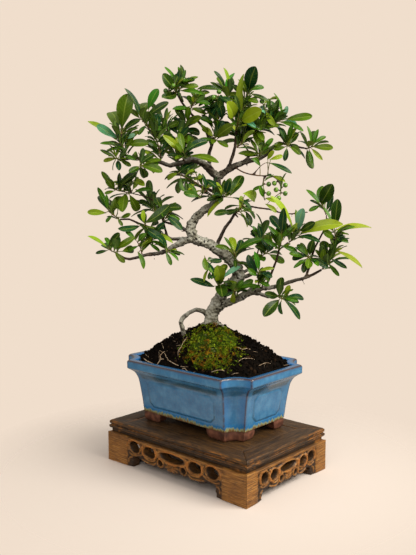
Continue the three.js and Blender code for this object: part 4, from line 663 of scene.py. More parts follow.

# %% [markdown]
# Glaze breaks to brown on sharp edges and at the lip, and pools in hollows. A band of painted shade darkens
# the wall under the overhanging rim, and painted shade darkens the panels' cut line. It was fired on a bare
# foot edge. These are worked out point by point on each plan.

# %% Pot wall
TINT_CHANGES_AT, PANELS_END, UNDER_RIM, UNDER_RIM_HALF, FLARE_FROM, RIM_EDGE = 73, 97, 99.4, 2.9, 104, 117.0
BAND_END = 7
profile = smooth_line(OUTER, 1.0)
inner_profile = smooth_line(INNER, 2.0)
whole = np.vstack([profile, inner_profile])
rings, tints = [], []
for index, (inset, height) in enumerate(whole):
    plan, arris, side = pot_outline(inset)
    outside = index < len(profile)
    out = plan / np.linalg.norm(plan, axis=1)[:, None]
    level = np.column_stack([plan, np.full(len(plan), height)])
    move = 0.22 * noise_at(level, [0.035, 0.035, 0.06])
    cut = np.zeros(len(plan))
    if outside and height < PANELS_END:
        inside_panel = panel_line(arris, height)
        cut = np.exp(-(inside_panel / 0.75) ** 2) * (side > 0)
        fade = noise_at(level, [0.05, 0.05, 0.09], [0, 0, 7])
        cut = cut * np.clip((1.3 if height < TINT_CHANGES_AT else 0.6) + 1.6 * fade, 0.1, 1)
        swell = 0.45 / (1 + np.exp(-inside_panel / 0.5)) * (side > 0)
        move = move + swell - 0.75 * cut
    sharp = np.exp(-(arris / 1.25) ** 2)
    if outside:
        move = move - 0.5 * sharp
    points = np.column_stack([plan + out * move[:, None], np.full(len(plan), height)])
    if outside and height > FLARE_FROM:
        points[:, 2] -= 0.35 * sharp
    points[:, :2] += POT_MIDDLE
    rings.append(points)
    lip = -((height - RIM_EDGE) / 1.35) ** 2 - (max(inset - 1.2, 0) / 1.1) ** 2
    rim_edge = math.exp(lip) if outside else 0
    foot_edge = math.exp(-((height - POT_BASE) / 1.0) ** 2) if outside else 0
    speck = noise_at(level, 0.3)
    brown = np.maximum(sharp * (0.9 if outside else 0.2) * np.clip(0.95 + 1.1 * speck, 0, 1),
                       rim_edge * np.clip(1.4 + 0.8 * speck, 0, 1))
    # Painted shade: a dark band under the overhanging rim, which fades out near the notches of the corners.
    under_rim = math.exp(-((height - UNDER_RIM) / UNDER_RIM_HALF) ** 8) if outside else 0
    patchy = noise_at(level, [0.05, 0.05, 0.2], [0, 0, 3])
    shade_along_side = np.where(side > 0, np.clip((arris - BAND_END) / 1.5, 0, 1), 0.55)
    shade = under_rim * shade_along_side * np.clip(0.9 + 1.0 * patchy, 0.3, 0.9)
    pooled = np.clip(0.5 * np.exp(-((arris - 3) / 5) ** 2) * (side == 0)
                     + (0.9 if not outside and height > 100 else 0), 0, 1)
    # The panels' cut line is darkened as well, as painted shade in the groove.
    dark = np.maximum(shade, cut * (1 if height < TINT_CHANGES_AT else 0.6))
    tints.append(np.column_stack([brown, dark, pooled, np.full(len(plan), foot_edge)]))
pot = Gather()
pot.add(np.vstack(rings), ring_faces(len(whole), len(plan)), 0, np.vstack(tints))
print("pot wall has", len(pot.faces), "faces")

# %% [markdown]
# The floor has two drain holes, and each foot is a low block of bare clay under a corner, whose outer side
# follows the hollow of the corner and swells a little above the ground, as a foot pressed in a mould does.

# %% Pot floor and feet
FEET = [(19.9, -6, 46.75), (19.0, -4.2, 47.4), (18.7, -2.6, 49.2), (18.1, -1.0, 51.5), (17.8, -0.3, 54.5),
        (18.4, 0, 58.2)]
FOOT_WIDTH, FOOT_REACH = 11.0, (25.0, 18.0)


def foot_ring(inset, lengthen, sx, sy):
    """Plan of one corner foot."""
    half_long, half_short = HALF_LENGTH - inset, HALF_DEPTH - inset
    notch = NOTCH - NOTCH_SHRINK * inset
    inner = notch + FOOT_WIDTH
    start = math.asin(FOOT_WIDTH / inner)
    x_end = half_long - notch - FOOT_REACH[0] - lengthen
    y_end = -half_short + notch + FOOT_REACH[1] + lengthen
    plan = [(x_end, -half_short)]
    plan += [(x_end + (half_long - notch - x_end) * t, -half_short) for t in (0.2, 0.4, 0.6, 0.8)]
    for i in range(9):
        angle = math.pi / 2 * i / 8
        plan.append((half_long - notch * math.cos(angle), -half_short + notch * math.sin(angle)))
    side_start = -half_short + notch
    plan += [(half_long, side_start + (y_end - side_start) * t) for t in (0.25, 0.5, 0.75, 1)]
    plan.append((half_long - FOOT_WIDTH, y_end))
    for i in range(7):
        angle = (math.pi / 2 - start) + (2 * start - math.pi / 2) * i / 6
        plan.append((half_long - inner * math.cos(angle), -half_short + inner * math.sin(angle)))
    plan.append((x_end, -half_short + FOOT_WIDTH))
    ring = np.array(plan) * [sx, -sy] + POT_MIDDLE
    return ring if sx * sy < 0 else ring[::-1]


def plate(ring, height, holes, upward, tint):
    """A level floor inside a ring, with round holes in it."""
    circles = [np.column_stack([cx + r * np.cos(ROUND), cy + r * np.sin(ROUND)]) for cx, cy, r in holes]
    points, faces = fill([ring] + circles, 9.0)
    faces = [tuple(f) if upward else tuple(f[::-1]) for f in faces]
    pot.add(np.column_stack([points, np.full(len(points), height)]), faces, 0, tint)


ROUND = np.linspace(0, 2 * math.pi, 24, endpoint=False)
DRAINS = [(POT_MIDDLE[0] + s * 36.0, POT_MIDDLE[1], 7.0) for s in (-1, 1)]
plate(rings[-1][:, :2], POT_FLOOR, DRAINS, True, (0, 0, 0.2, 0))
plate(rings[0][:, :2], POT_BASE, DRAINS, False, (1, 0, 0, 1))
for cx, cy, radius in DRAINS:
    circle = np.column_stack([cx + radius * np.cos(ROUND), cy + radius * np.sin(ROUND)])
    bore = np.vstack([np.column_stack([circle, np.full(len(ROUND), h)]) for h in (POT_BASE, POT_FLOOR)])
    pot.add(bore, [f[::-1] for f in ring_faces(2, len(ROUND))], 0, (1, 0, 0, 1))
for sx, sy in [(1, -1), (1, 1), (-1, 1), (-1, -1)]:
    plans = [foot_ring(inset, lengthen, sx, sy) for inset, lengthen, _ in FEET]
    count = len(plans[0])
    levels = [np.column_stack([plan, np.full(count, height)]) for plan, (*_, height) in zip(plans, FEET)]
    walls = ring_faces(len(FEET), count)
    walls += [tuple(range(count))[::-1], tuple(range((len(FEET) - 1) * count, len(FEET) * count))]
    pot.add(np.vstack(levels), walls, 1)
print("pot gathered:", pot.count, "points")

# %% [markdown]
# The glaze is one thick coat of blue over buff clay, fired to a gloss. It is mottled at a few millimetres,
# with dark iron specks under half a millimetre, and streaked where it ran. It pools in the lowest 8 mm of
# the wall and ends in a pale green hem 3 mm above the clay, both on wavy lines. The feet are bare red clay.

# %% Glaze and clay
glaze, tree, shader = new_material("running blue glaze", Roughness=0.2, IOR=1.5, Coat_Weight=0.4,
                                   Coat_Roughness=0.08)
where = add_node(tree, "TexCoord").outputs["Object"]
tint = tint_channels(tree)
mottle = add_node(tree, "TexNoise", {"Vector": where, "Scale": 90.0, "Detail": 5.0,
                                     "Roughness": 0.6}).outputs["Fac"]
drops = add_node(tree, "Mapping", {"Vector": where, "Scale": (420.0, 420.0, 60.0)}).outputs["Vector"]
runs = add_node(tree, "TexNoise", {"Vector": drops, "Scale": 1.0, "Detail": 3.0}).outputs["Fac"]
grains = add_node(tree, "TexNoise", {"Vector": where, "Scale": 1100.0, "Detail": 2.0}).outputs["Fac"]
broad = add_node(tree, "TexNoise", {"Vector": where, "Scale": 16.0, "Detail": 2.0}).outputs["Fac"]
blue = add_node(tree, "ValToRGB", [mottle],
                stops=[(0.3, "#326C98"), (0.5, "#3F7CA8"), (0.75, "#5A94BA")]).outputs[0]
amount = add_node(tree, "MapRange", [broad, 0.42, 0.68, 0.0, 0.3]).outputs[0]
blue = add_node(tree, "Mix", {0: amount, 6: blue, 7: "#4A8CB4"}, data_type="RGBA").outputs[2]
amount = add_node(tree, "MapRange", [runs, 0.52, 0.72, 0.0, 0.4]).outputs[0]
blue = add_node(tree, "Mix", {0: amount, 6: blue, 7: "#336C98"}, data_type="RGBA").outputs[2]
amount = add_node(tree, "MapRange", [grains, 0.56, 0.68, 0.0, 0.6]).outputs[0]
blue = add_node(tree, "Mix", {0: amount, 6: blue, 7: "#294A66"}, data_type="RGBA").outputs[2]
blue = add_node(tree, "Mix", {0: tint["Blue"], 6: blue, 7: "#1F6FB0"}, data_type="RGBA").outputs[2]
# The tint's green darkens the glaze: painted shade under the rim and in the panels' cut line.
blue = add_node(tree, "Mix", {0: tint["Green"], 6: blue, 7: "#274C5C"}, data_type="RGBA").outputs[2]
height = add_node(tree, "SeparateXYZ", {"Vector": where}).outputs["Z"]
amount = add_node(tree, "MapRange", [runs, 0.25, 0.75, -3.6 * MM, 3.2 * MM]).outputs[0]
hem_place = add_node(tree, "Math", {0: height, 1: amount}, operation="ADD").outputs[0]
pool = add_node(tree, "MapRange", [hem_place, 66 * MM, 61 * MM]).outputs[0]
blue = add_node(tree, "Mix", {0: pool, 6: blue, 7: "#1E74B0"}, data_type="RGBA").outputs[2]
hem = add_node(tree, "MapRange", [hem_place, 61.2 * MM, 59.6 * MM]).outputs[0]
blue = add_node(tree, "Mix", {0: hem, 6: blue, 7: "#98A070"}, data_type="RGBA").outputs[2]
amount = add_node(tree, "MapRange", [hem_place, 59.4 * MM, 57.6 * MM]).outputs[0]
blue = add_node(tree, "Mix", {0: amount, 6: blue, 7: "#7A5A3A"}, data_type="RGBA").outputs[2]
blue = add_node(tree, "Mix", {0: tint["Red"], 6: blue, 7: "#43281C"}, data_type="RGBA").outputs[2]
tree.links.new(blue, shader.inputs["Base Color"])
dull = add_node(tree, "MapRange", [grains, 0.4, 0.7, 0.16, 0.32]).outputs[0]
tree.links.new(dull, shader.inputs["Roughness"])
ripple = add_node(tree, "Bump", {"Height": mottle, "Strength": 0.35, "Distance": 0.25 * MM})
tree.links.new(ripple.outputs["Normal"], shader.inputs["Normal"])

clay, tree, shader = new_material("bare red stoneware", Roughness=0.62)
where = add_node(tree, "TexCoord").outputs["Object"]
body = add_node(tree, "TexNoise", {"Vector": where, "Scale": 140.0, "Detail": 6.0}).outputs["Fac"]
grit = add_node(tree, "TexNoise", {"Vector": where, "Scale": 900.0, "Detail": 3.0}).outputs["Fac"]
red = add_node(tree, "ValToRGB", [body],
               stops=[(0.3, "#3E2116"), (0.5, "#613827"), (0.7, "#84523A")]).outputs[0]
amount = add_node(tree, "MapRange", [grit, 0.6, 0.7, 0.0, 0.6]).outputs[0]
colour = add_node(tree, "Mix", {0: amount, 6: red, 7: "#3E2018"}, data_type="RGBA").outputs[2]
tree.links.new(colour, shader.inputs["Base Color"])
rough = add_node(tree, "Bump", {"Height": grit, "Strength": 0.4, "Distance": 0.2 * MM})
tree.links.new(rough.outputs["Normal"], shader.inputs["Normal"])

pot.make("glazed_pot", [glaze, clay], ["pot"], angle=60)
print("pot made of", glaze.name, "and", clay.name)

# %% [markdown]
# The drain holes are covered by woven plastic mesh. The solid plates have the right size and holes, so they
# only get the black plastic they are moulded from.

# %% Drain meshes
plastic, tree, shader = new_material("black moulded plastic", Roughness=0.5)
shader.inputs["Base Color"].default_value = linear("#16181A")
for name in ("drain_mesh_left", "drain_mesh_right"):
    plate_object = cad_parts[name]
    plate_object.data.materials.clear()
    plate_object.data.materials.append(plastic)
print("drain meshes are", plastic.name)

# %% [markdown]
# ## Soil
# The mound is dark, peaty potting soil: crumbs of 1 to 4 mm, held by fine roots. Its form is read off the
# solid mound from above, then broken up by noise of crumb size, and loose crumbs are strewn over it.

# %% Soil surface
def tree_of(shape):
    """The faces of a shape, sorted for shooting rays at them."""
    return BVHTree.FromBMesh(shape)


def spot(across, height, depth=0.0):
    """A point that shows at this place of the photographed view, at a depth towards the viewer."""
    shrink = (EYE_AWAY - depth) / EYE_AWAY
    return (MIDDLE + ACROSS * (EYE_ACROSS + (across - EYE_ACROSS) * shrink) + TOWARD * depth
            + UP * (EYE_HEIGHT + (height - EYE_HEIGHT) * shrink))


soil_shape = welded("soil")
soil_tree = tree_of(soil_shape)
PEAK = MIDDLE[:2] + [-12.3, 7.8]
SOIL_INSET, SOIL_EDGE, SOIL_BOTTOM = 9.85, 113.6, 65.8
HEAPS = [(PEAK + TOWARD[:2] * 3, 5.0, 14.0), (spot(-34, 145, -2)[:2], 5.5, 7.0)]


def heap(x, y):
    """Soil and crumbs that collect round the foot of the trunk and of the bare root."""
    return sum(rise * math.exp(-((x - at[0]) ** 2 + (y - at[1]) ** 2) / reach ** 2)
               for at, rise, reach in HEAPS)


def ground_height(x, y):
    """Height of the mound, or nothing where there is no soil."""
    hit = soil_tree.ray_cast(Vector((x, y, 300)) * MM, Vector((0, 0, -1)))[0]
    return hit.z / MM + heap(x, y) if hit else None


def crumbs(x, y, z):
    """Rise and fall of the soil at three sizes of crumb."""
    big = abs(noise.noise(Vector((x * 0.16, y * 0.16, z * 0.16))))
    middle = abs(noise.noise(Vector((x * 0.38, y * 0.38, z * 0.38 + 5))))
    fine = abs(noise.noise(Vector((x * 0.9, y * 0.9, z * 0.9 + 9))))
    return 3.4 * big + 2.6 * middle + 1.3 * fine - 1.9


edge, _, _ = pot_outline(SOIL_INSET)
edge = edge + POT_MIDDLE
count = len(edge)
rings = [np.column_stack([pot_outline(inset)[0] + POT_MIDDLE, np.full(count, height)])
         for inset, height in ((23.4, SOIL_BOTTOM), (18.6, 90), (11.2, 109))]
AROUND_A_POINT = ((0, 0), (2.5, 0), (-2.5, 0), (0, 2.5), (0, -2.5))
for share in np.linspace(1, 0.02, 84) ** 0.9:
    plan = PEAK + (edge - PEAK) * share
    heights = []
    for x, y in plan:
        near = [ground_height(x + dx, y + dy) for dx, dy in AROUND_A_POINT]
        near = [h for h in near if h]
        base = sum(near) / len(near) if near else SOIL_EDGE
        calm = min(1, (1 - share) * 9 + 0.15)
        heights.append(base + crumbs(x, y, base) * calm)
    rings.append(np.column_stack([plan, heights]))
faces = ring_faces(len(rings), count)
faces += [tuple(range(count))[::-1], tuple(range((len(rings) - 1) * count, len(rings) * count))]
soil = Gather()
soil.add(np.vstack(rings), faces)
print("soil surface:", len(faces), "faces")

# %% [markdown]
# Potting soil is sieved, so its crumbs are of a kind: small uneven lumps, half sunk and never round. They
# are strewn at random over the mound, with fewer and smaller ones towards the pot's wall.

# %% Loose crumbs
rng = np.random.default_rng(11)
CRUMB_COUNT = 2100


def blob(radius, uneven):
    """A small uneven lump as points and triangles."""
    lump = bmesh.new()
    bmesh.ops.create_icosphere(lump, subdivisions=1, radius=1)
    points = np.array([v.co[:] for v in lump.verts])
    faces = [[v.index for v in f.verts] for f in lump.faces]
    lump.free()
    points *= radius * (1 + uneven * rng.uniform(-1, 1, (len(points), 1))) * rng.uniform(0.6, 1.2, 3)
    return points, faces


for _ in range(CRUMB_COUNT):
    target = edge[rng.integers(count)]
    share = rng.uniform(0.05, 0.985) ** 0.6
    x, y = PEAK + (target - PEAK) * share
    z = ground_height(x, y)
    if z is None:
        continue
    radius = rng.uniform(0.3, 1.0) ** 3 * 2.4 + 0.35
    if share > 0.95:
        radius *= 0.6
    points, faces = blob(radius, 0.3)
    soil.add(points + [x, y, z + rng.uniform(-0.2, 0.9)], faces, 0, (rng.uniform(0, 1), 0, 0, 0))
print("soil and crumbs:", soil.count, "points")

# %% [markdown]
# A few pale roots lie on the soil where the picture shows them. Each is drawn as a path in the view and
# laid down on the mound along the line of sight. Short hair roots stick out of the soil everywhere.

# %% Pale roots
def on_ground(across, height):
    """The point of the ground that shows at this place of the view."""
    towards = spot(across, height) - EYE
    hit = soil_tree.ray_cast(Vector(EYE * MM), Vector(towards).normalized())[0]
    return np.array(hit) / MM + [0, 0, heap(hit.x / MM, hit.y / MM)] if hit else None


def tube(line, radii, sides=6):
    """A round thread along a line, closed at both ends."""
    line = np.asarray(line, float)
    along = np.gradient(line, axis=0)
    along /= np.linalg.norm(along, axis=1)[:, None] + 1e-9
    normal = np.cross(along[0], [0.3, 0.2, 0.93])
    points = []
    for place, way, radius in zip(line, along, radii):
        normal = normal - way * normal.dot(way)
        normal /= np.linalg.norm(normal) + 1e-9
        other = np.cross(way, normal)
        for k in range(sides):
            turn = 2 * math.pi * k / sides
            points.append(place + radius * (math.cos(turn) * normal + math.sin(turn) * other))
    count = len(line)
    faces = ring_faces(count, sides)
    faces += [tuple(range(sides))[::-1], tuple(range((count - 1) * sides, count * sides))]
    return np.array(points), faces


HAIR_ROOTS = 60
ROOTS = [([(-80, 119), (-72, 115), (-66, 112), (-62, 115), (-58, 119), (-48, 115), (-38, 111),
           (-30, 110)], 0.55),
         ([(-58, 119), (-60, 123), (-57, 127), (-52, 129)], 0.35),
         ([(-32, 141), (-36, 134), (-40, 128), (-41, 122)], 0.3),
         ([(-40, 106), (-34, 108), (-28, 104), (-22, 105)], 0.4), ([(-6, 104), (6, 107), (16, 104)], 0.35),
         ([(22, 134), (30, 130), (38, 131), (47, 126)], 0.3), ([(26, 116), (34, 120), (44, 118)], 0.3),
         ([(-62, 128), (-54, 124), (-50, 118)], 0.25), ([(48, 112), (56, 116), (62, 114)], 0.25)]
for path, radius in ROOTS:
    line = smooth_line(path, 1.6)
    lying = [on_ground(a, h) for a, h in line]
    lying = np.array([p for p in lying if p is not None])
    if len(lying) > 3:
        wobble = np.column_stack([np.interp(np.arange(len(lying)), np.arange(0, len(lying) + 3, 3),
                                            rng.normal(0, 0.7, len(np.arange(0, len(lying) + 3, 3))))
                                  for _ in range(3)])
        lying = lying + wobble + UP * 1.2
        radii = radius * np.interp(np.linspace(0, 1, len(lying)), [0, 0.1, 0.8, 1], [0.6, 1, 0.8, 0.25])
        soil.add(*tube(lying, radii), 1)
for _ in range(HAIR_ROOTS):
    target = edge[rng.integers(count)]
    x, y = PEAK + (target - PEAK) * rng.uniform(0.15, 0.96)
    z = ground_height(x, y)
    if z is None:
        continue
    way = rng.normal(0, 1, 3) + [0, 0, 0.6]
    way /= np.linalg.norm(way)
    bend = rng.normal(0, 0.8, 3)
    length = rng.uniform(3, 9)
    steps = np.linspace(0, 1, 7)[:, None]
    line = np.array([x, y, z]) + way * steps * length + bend * length * 0.35 * steps ** 2
    line[:, 2] = np.maximum(line[:, 2], z - 1)
    soil.add(*tube(line, np.linspace(0.2, 0.07, 7), 4), 1)
print("roots:", len(ROOTS), "lying on the soil and", HAIR_ROOTS, "hair roots")

# %% [markdown]
# Moist peat is nearly black and has no gloss, with brown flecks where a crumb is dry. The roots' skin is
# tan with fine darker marks, so they stand out as pale threads.

# %% Soil materials
peat, tree, shader = new_material("dark peaty soil", Roughness=0.95, Specular_IOR_Level=0.05)
where = add_node(tree, "TexCoord").outputs["Object"]
tint = tint_channels(tree)
lumps = add_node(tree, "TexNoise", {"Vector": where, "Scale": 420.0, "Detail": 6.0,
                                    "Roughness": 0.7}).outputs["Fac"]
broad = add_node(tree, "TexNoise", {"Vector": where, "Scale": 60.0, "Detail": 3.0}).outputs["Fac"]
colour = add_node(tree, "ValToRGB", [lumps],
                  stops=[(0.32, "#030201"), (0.52, "#0C0805"), (0.66, "#1E150D"),
                         (0.82, "#54402C")]).outputs[0]
amount = add_node(tree, "MapRange", [broad, 0.5, 0.7, 0.0, 0.6]).outputs[0]
colour = add_node(tree, "Mix", {0: amount, 6: colour, 7: "#0D0A08"}, data_type="RGBA").outputs[2]
amount = add_node(tree, "MapRange", [tint["Red"], 0.85, 1.0, 0.0, 0.4]).outputs[0]
colour = add_node(tree, "Mix", {0: amount, 6: colour, 7: "#4A3524"}, data_type="RGBA").outputs[2]
tree.links.new(colour, shader.inputs["Base Color"])
rough = add_node(tree, "Bump", {"Height": lumps, "Strength": 0.8, "Distance": 0.6 * MM})
tree.links.new(rough.outputs["Normal"], shader.inputs["Normal"])

root_skin, tree, shader = new_material("pale root bark", Roughness=0.7)
where = add_node(tree, "TexCoord").outputs["Object"]
grain = add_node(tree, "TexNoise", {"Vector": where, "Scale": 500.0, "Detail": 3.0}).outputs["Fac"]
pale = add_node(tree, "ValToRGB", [grain],
                stops=[(0.35, "#7C6248"), (0.5, "#B59A7A"), (0.7, "#D8C4A6")]).outputs[0]
tree.links.new(pale, shader.inputs["Base Color"])
soil.make("peaty_soil_mound", [peat, root_skin], ["soil"], angle=70)
print("soil made")

# %% [markdown]
# ## Moss
# A cushion of moss grows on the side of the mound. Each shoot is a star of fine pointed leaves about 1.5 mm
# long, and thousands of them stand side by side, bright green at the top and rusty where the cushion dries.

# %% Moss cushion
moss_shape = welded("moss")
moss_tree = tree_of(moss_shape)
moss = Gather()
bmesh.ops.subdivide_edges(moss_shape, edges=moss_shape.edges[:], cuts=4, use_grid_fill=True)
bmesh.ops.triangulate(moss_shape, faces=moss_shape.faces)
moss_shape.normal_update()
points, faces = shape_arrays(moss_shape)
normals = np.array([v.normal[:] for v in moss_shape.verts])
lump = noise_at(points, 0.28) + 0.6 * noise_at(points, 0.8)
points = points + normals * (0.9 * lump - 0.4)[:, None]
moss.add(points, faces, 0, (0.1, 0.15, 0, 0))


def star(at, up, size, warm, bright):
    """One moss shoot: fine pointed leaves that spread from a point."""
    first = np.cross(up, [0.4, 0.5, 0.77])
    first /= np.linalg.norm(first)
    second = np.cross(up, first)
    begin = rng.uniform(0, 2 * math.pi)
    points, faces = [], []
    for k in range(4):
        turn = begin + k * 2.4
        lean = rng.uniform(0.35, 1.1)
        way = up * math.cos(lean) + (first * math.cos(turn) + second * math.sin(turn)) * math.sin(lean)
        across = np.cross(way, up)
        across /= np.linalg.norm(across) + 1e-9
        base = at + way * 0.1
        wide = size * 0.2
        points += [base + across * wide, base - across * wide, base + np.cross(way, across) * wide * 0.7,
                   at + way * size]
        n = 4 * k
        faces += [(n, n + 1, n + 3), (n + 1, n + 2, n + 3), (n + 2, n, n + 3), (n, n + 2, n + 1)]
    moss.add(points, faces, 0, (warm, bright, 1, 0))


CUSHION_SHOOTS, STRAY_TRIES = 4400, 9000
CUSHION_MIDDLE, CUSHION_REACH = (-3, 131), (34, 26)
heights = np.array([v.co.z / MM for v in moss_shape.verts])
moss_low, moss_high = heights.min(), heights.max()
for _ in range(CUSHION_SHOOTS):
    bary = rng.dirichlet([1, 1, 1])
    corner = points[list(faces[rng.integers(len(faces))])]
    x, y = (corner.T @ bary)[:2]
    hit = moss_tree.ray_cast(Vector((x, y, 300)) * MM, Vector((0, 0, -1)))
    if hit[0] is None:
        continue
    at = np.array(hit[0]) / MM
    up = np.array(hit[1]) * 0.6 + np.array([0, 0, 0.5]) + rng.normal(0, 0.2, 3)
    up /= np.linalg.norm(up)
    lift = noise.noise(Vector(at * 0.28))
    share = (at[2] - moss_low) / (moss_high - moss_low)
    patch = noise.noise(Vector(at * 0.12 + 5))
    warm = float(np.clip(0.68 - 1.0 * share + 1.2 * patch + rng.normal(0, 0.3), 0, 1))
    # Painted shade: shoots set low by the lumps' noise get darker tones, raised ones brighter.
    bright = float(np.clip(0.45 + 0.5 * lift + rng.normal(0, 0.25), 0, 1))
    star(at + up * (0.9 * lift - 0.2), up, rng.uniform(1.2, 2.3), warm, bright)
spread_out = 0
for _ in range(STRAY_TRIES):
    across, height = rng.normal(-3, 17), rng.normal(133, 15)
    at = on_ground(across, height)
    if at is None or at[2] < SOIL_EDGE + 5 or height > 160:
        continue
    reach = math.hypot((across - CUSHION_MIDDLE[0]) / CUSHION_REACH[0],
                       (height - CUSHION_MIDDLE[1]) / CUSHION_REACH[1])
    if reach + 0.55 * noise.noise(Vector(at * 0.14)) + rng.normal(0, 0.1) > 1.0:
        continue
    up = np.array([0, 0, 0.7]) + TOWARD * 0.4 + rng.normal(0, 0.25, 3)
    up /= np.linalg.norm(up)
    warm = float(np.clip(0.35 + 0.9 * noise.noise(Vector(at * 0.2 + 2)) + rng.normal(0, 0.25), 0, 1))
    star(at + up * 0.3, up, rng.uniform(1.0, 2.0), warm, float(np.clip(rng.normal(0.4, 0.25), 0, 1)))
    spread_out += 1
print("moss:", moss.count, "points, with", spread_out, "shoots round the cushion")

# %% [markdown]
# Moss leaves are dull. Each shoot has one tone from dark to yellow-green, so single shoots can be told
# apart; shoots sunk low in the cushion get the darker tones as painted shade, and raised ones the brighter.
# Dry shoots turn rusty in patches.

# %% Moss material
moss_leaf, tree, shader = new_material("cushion moss", Roughness=0.7, Specular_IOR_Level=0.1)
tint = tint_channels(tree)
where = add_node(tree, "TexCoord").outputs["Object"]
patches = add_node(tree, "TexNoise", {"Vector": where, "Scale": 160.0, "Detail": 3.0}).outputs["Fac"]
green = add_node(tree, "ValToRGB", [tint["Green"]],
                 stops=[(0.0, "#141E03"), (0.35, "#40560A"), (0.65, "#738C14"), (1.0, "#AEBC2C")]).outputs[0]
rusty = add_node(tree, "ValToRGB", [patches],
                 stops=[(0.35, "#4A2E0A"), (0.55, "#946212"), (0.75, "#C48C22")]).outputs[0]
amount = add_node(tree, "MapRange", [tint["Red"], 0.35, 0.85]).outputs[0]
colour = add_node(tree, "Mix", {0: amount, 6: green, 7: rusty}, data_type="RGBA").outputs[2]
tree.links.new(colour, shader.inputs["Base Color"])
moss.make("moss_cushion", [moss_leaf], ["moss"], smooth=False)
print("moss made")

# %% [markdown]
# ## Wood of the tree
# Old firethorn bark is pale grey, with dark pits and small knobs low on the trunk. It gets browner and
# smoother higher up, and the youngest wood is nearly black. The solid limbs have few sides, so they are
# turned into fine voxels, smoothed, and roughened again, the more the thicker the limb is.

# %% Fine mesh from a solid
def refined(shape, *steps):
    """The mesh of a shape after some modifiers, as a new bmesh."""
    mesh = bpy.data.meshes.new("rough")
    shape.to_mesh(mesh)
    holder = bpy.data.objects.new("rough", mesh)
    bpy.context.scene.collection.objects.link(holder)
    for kind, settings in steps:
        modifier = holder.modifiers.new(kind, kind)
        for key, value in settings.items():
            setattr(modifier, key, value)
    bpy.context.view_layer.update()
    made = holder.evaluated_get(bpy.context.evaluated_depsgraph_get()).to_mesh()
    out = bmesh.new()
    out.from_mesh(made)
    bpy.data.objects.remove(holder)
    bpy.data.meshes.remove(mesh)
    return out


VOXEL = 0.8 * MM
wood = refined(welded("tree_wood"), ("REMESH", {"mode": "VOXEL", "voxel_size": VOXEL}),
               ("SMOOTH", {"factor": 0.5, "iterations": 5}))
wood.normal_update()
points, faces = shape_arrays(wood)
normals = np.array([v.normal[:] for v in wood.verts])
wood_tree = tree_of(wood)
print("wood:", len(faces), "faces")

# %% [markdown]
# A ray shot inwards measures how thick the limb is at each point. The relief follows it: plates, knobs and
# pits on the old trunk, and almost smooth skin on thin twigs. The same value later tints the bark.

# %% Bark
thick = np.empty(len(points))
for i, (p, n) in enumerate(zip(points, normals)):
    hit = wood_tree.ray_cast(Vector((p - n * 0.25) * MM), Vector(-n))
    thick[i] = hit[3] / MM if hit[0] is not None else 3
thick = thick.clip(0.5, 18)
neighbours = [[] for _ in points]
for e in wood.edges:
    a, b = e.verts[0].index, e.verts[1].index
    neighbours[a].append(b)
    neighbours[b].append(a)
for _ in range(6):
    thick = np.array([(thick[i] + sum(thick[j] for j in near)) / (1 + len(near))
                      for i, near in enumerate(neighbours)])
plates = noise_at(points, [0.17, 0.17, 0.11])
knobs = noise_at(points, 0.42)
grain = noise_at(points, [1.3, 1.3, 0.8])
pits = noise_at(points, [0.4, 0.4, 0.34], 7)
where_pitted = noise_at(points, 0.06, 3)
pits = np.clip((pits - 0.34 + 0.5 * where_pitted) / 0.14, 0, 1)
strong = np.clip((thick - 1.4) / 9, 0.03, 1)
lift = strong * (1.2 * plates + 1.2 * knobs + 0.3 * grain - 0.9 * pits) + 0.12
bark = Gather()
tint = np.column_stack([np.clip((thick - 1.5) / 8, 0, 1), pits * np.clip(strong * 2, 0, 1),
                        np.clip(0.5 + knobs, 0, 1), np.clip((points[:, 2] - 150) / 200, 0, 1)])
bark.add(points + normals * lift[:, None], faces, 0, tint)
print("bark relief from", round(lift.min(), 2), "to", round(lift.max(), 2), "mm")

# %% [markdown]
# Old bark is silver-grey, with a pale painted highlight in patches where it faces the sky; its undersides
# get painted shade and its pits are dark. Young bark is brown, so the thickness and the height of a point
# choose between the tones.

# %% Bark material
bark_skin, tree, shader = new_material("old firethorn bark", Roughness=0.85, Specular_IOR_Level=0.15)
where = add_node(tree, "TexCoord").outputs["Object"]
tint = tint_channels(tree)
high_up = add_node(tree, "Attribute", attribute_name="tint").outputs["Alpha"]
flakes = add_node(tree, "TexNoise", {"Vector": where, "Scale": 120.0, "Detail": 7.0,
                                     "Roughness": 0.6}).outputs["Fac"]
fine = add_node(tree, "TexNoise", {"Vector": where, "Scale": 900.0, "Detail": 3.0}).outputs["Fac"]
old = add_node(tree, "ValToRGB", [flakes],
               stops=[(0.32, "#5A5547"), (0.44, "#8A8674"), (0.56, "#AFAC9B"), (0.72, "#D2D0C6")]).outputs[0]
middle = add_node(tree, "ValToRGB", [flakes],
                  stops=[(0.32, "#241E17"), (0.5, "#4A4338"), (0.7, "#7A7365")]).outputs[0]
young = add_node(tree, "ValToRGB", [flakes],
                 stops=[(0.3, "#1B110A"), (0.5, "#33221A"), (0.75, "#5C4028")]).outputs[0]
stout = add_node(tree, "Math", {0: tint["Red"], 1: high_up}, operation="SUBTRACT").outputs[0]
amount = add_node(tree, "MapRange", [stout, 0.5, -0.1]).outputs[0]
colour = add_node(tree, "Mix", {0: amount, 6: old, 7: middle}, data_type="RGBA").outputs[2]
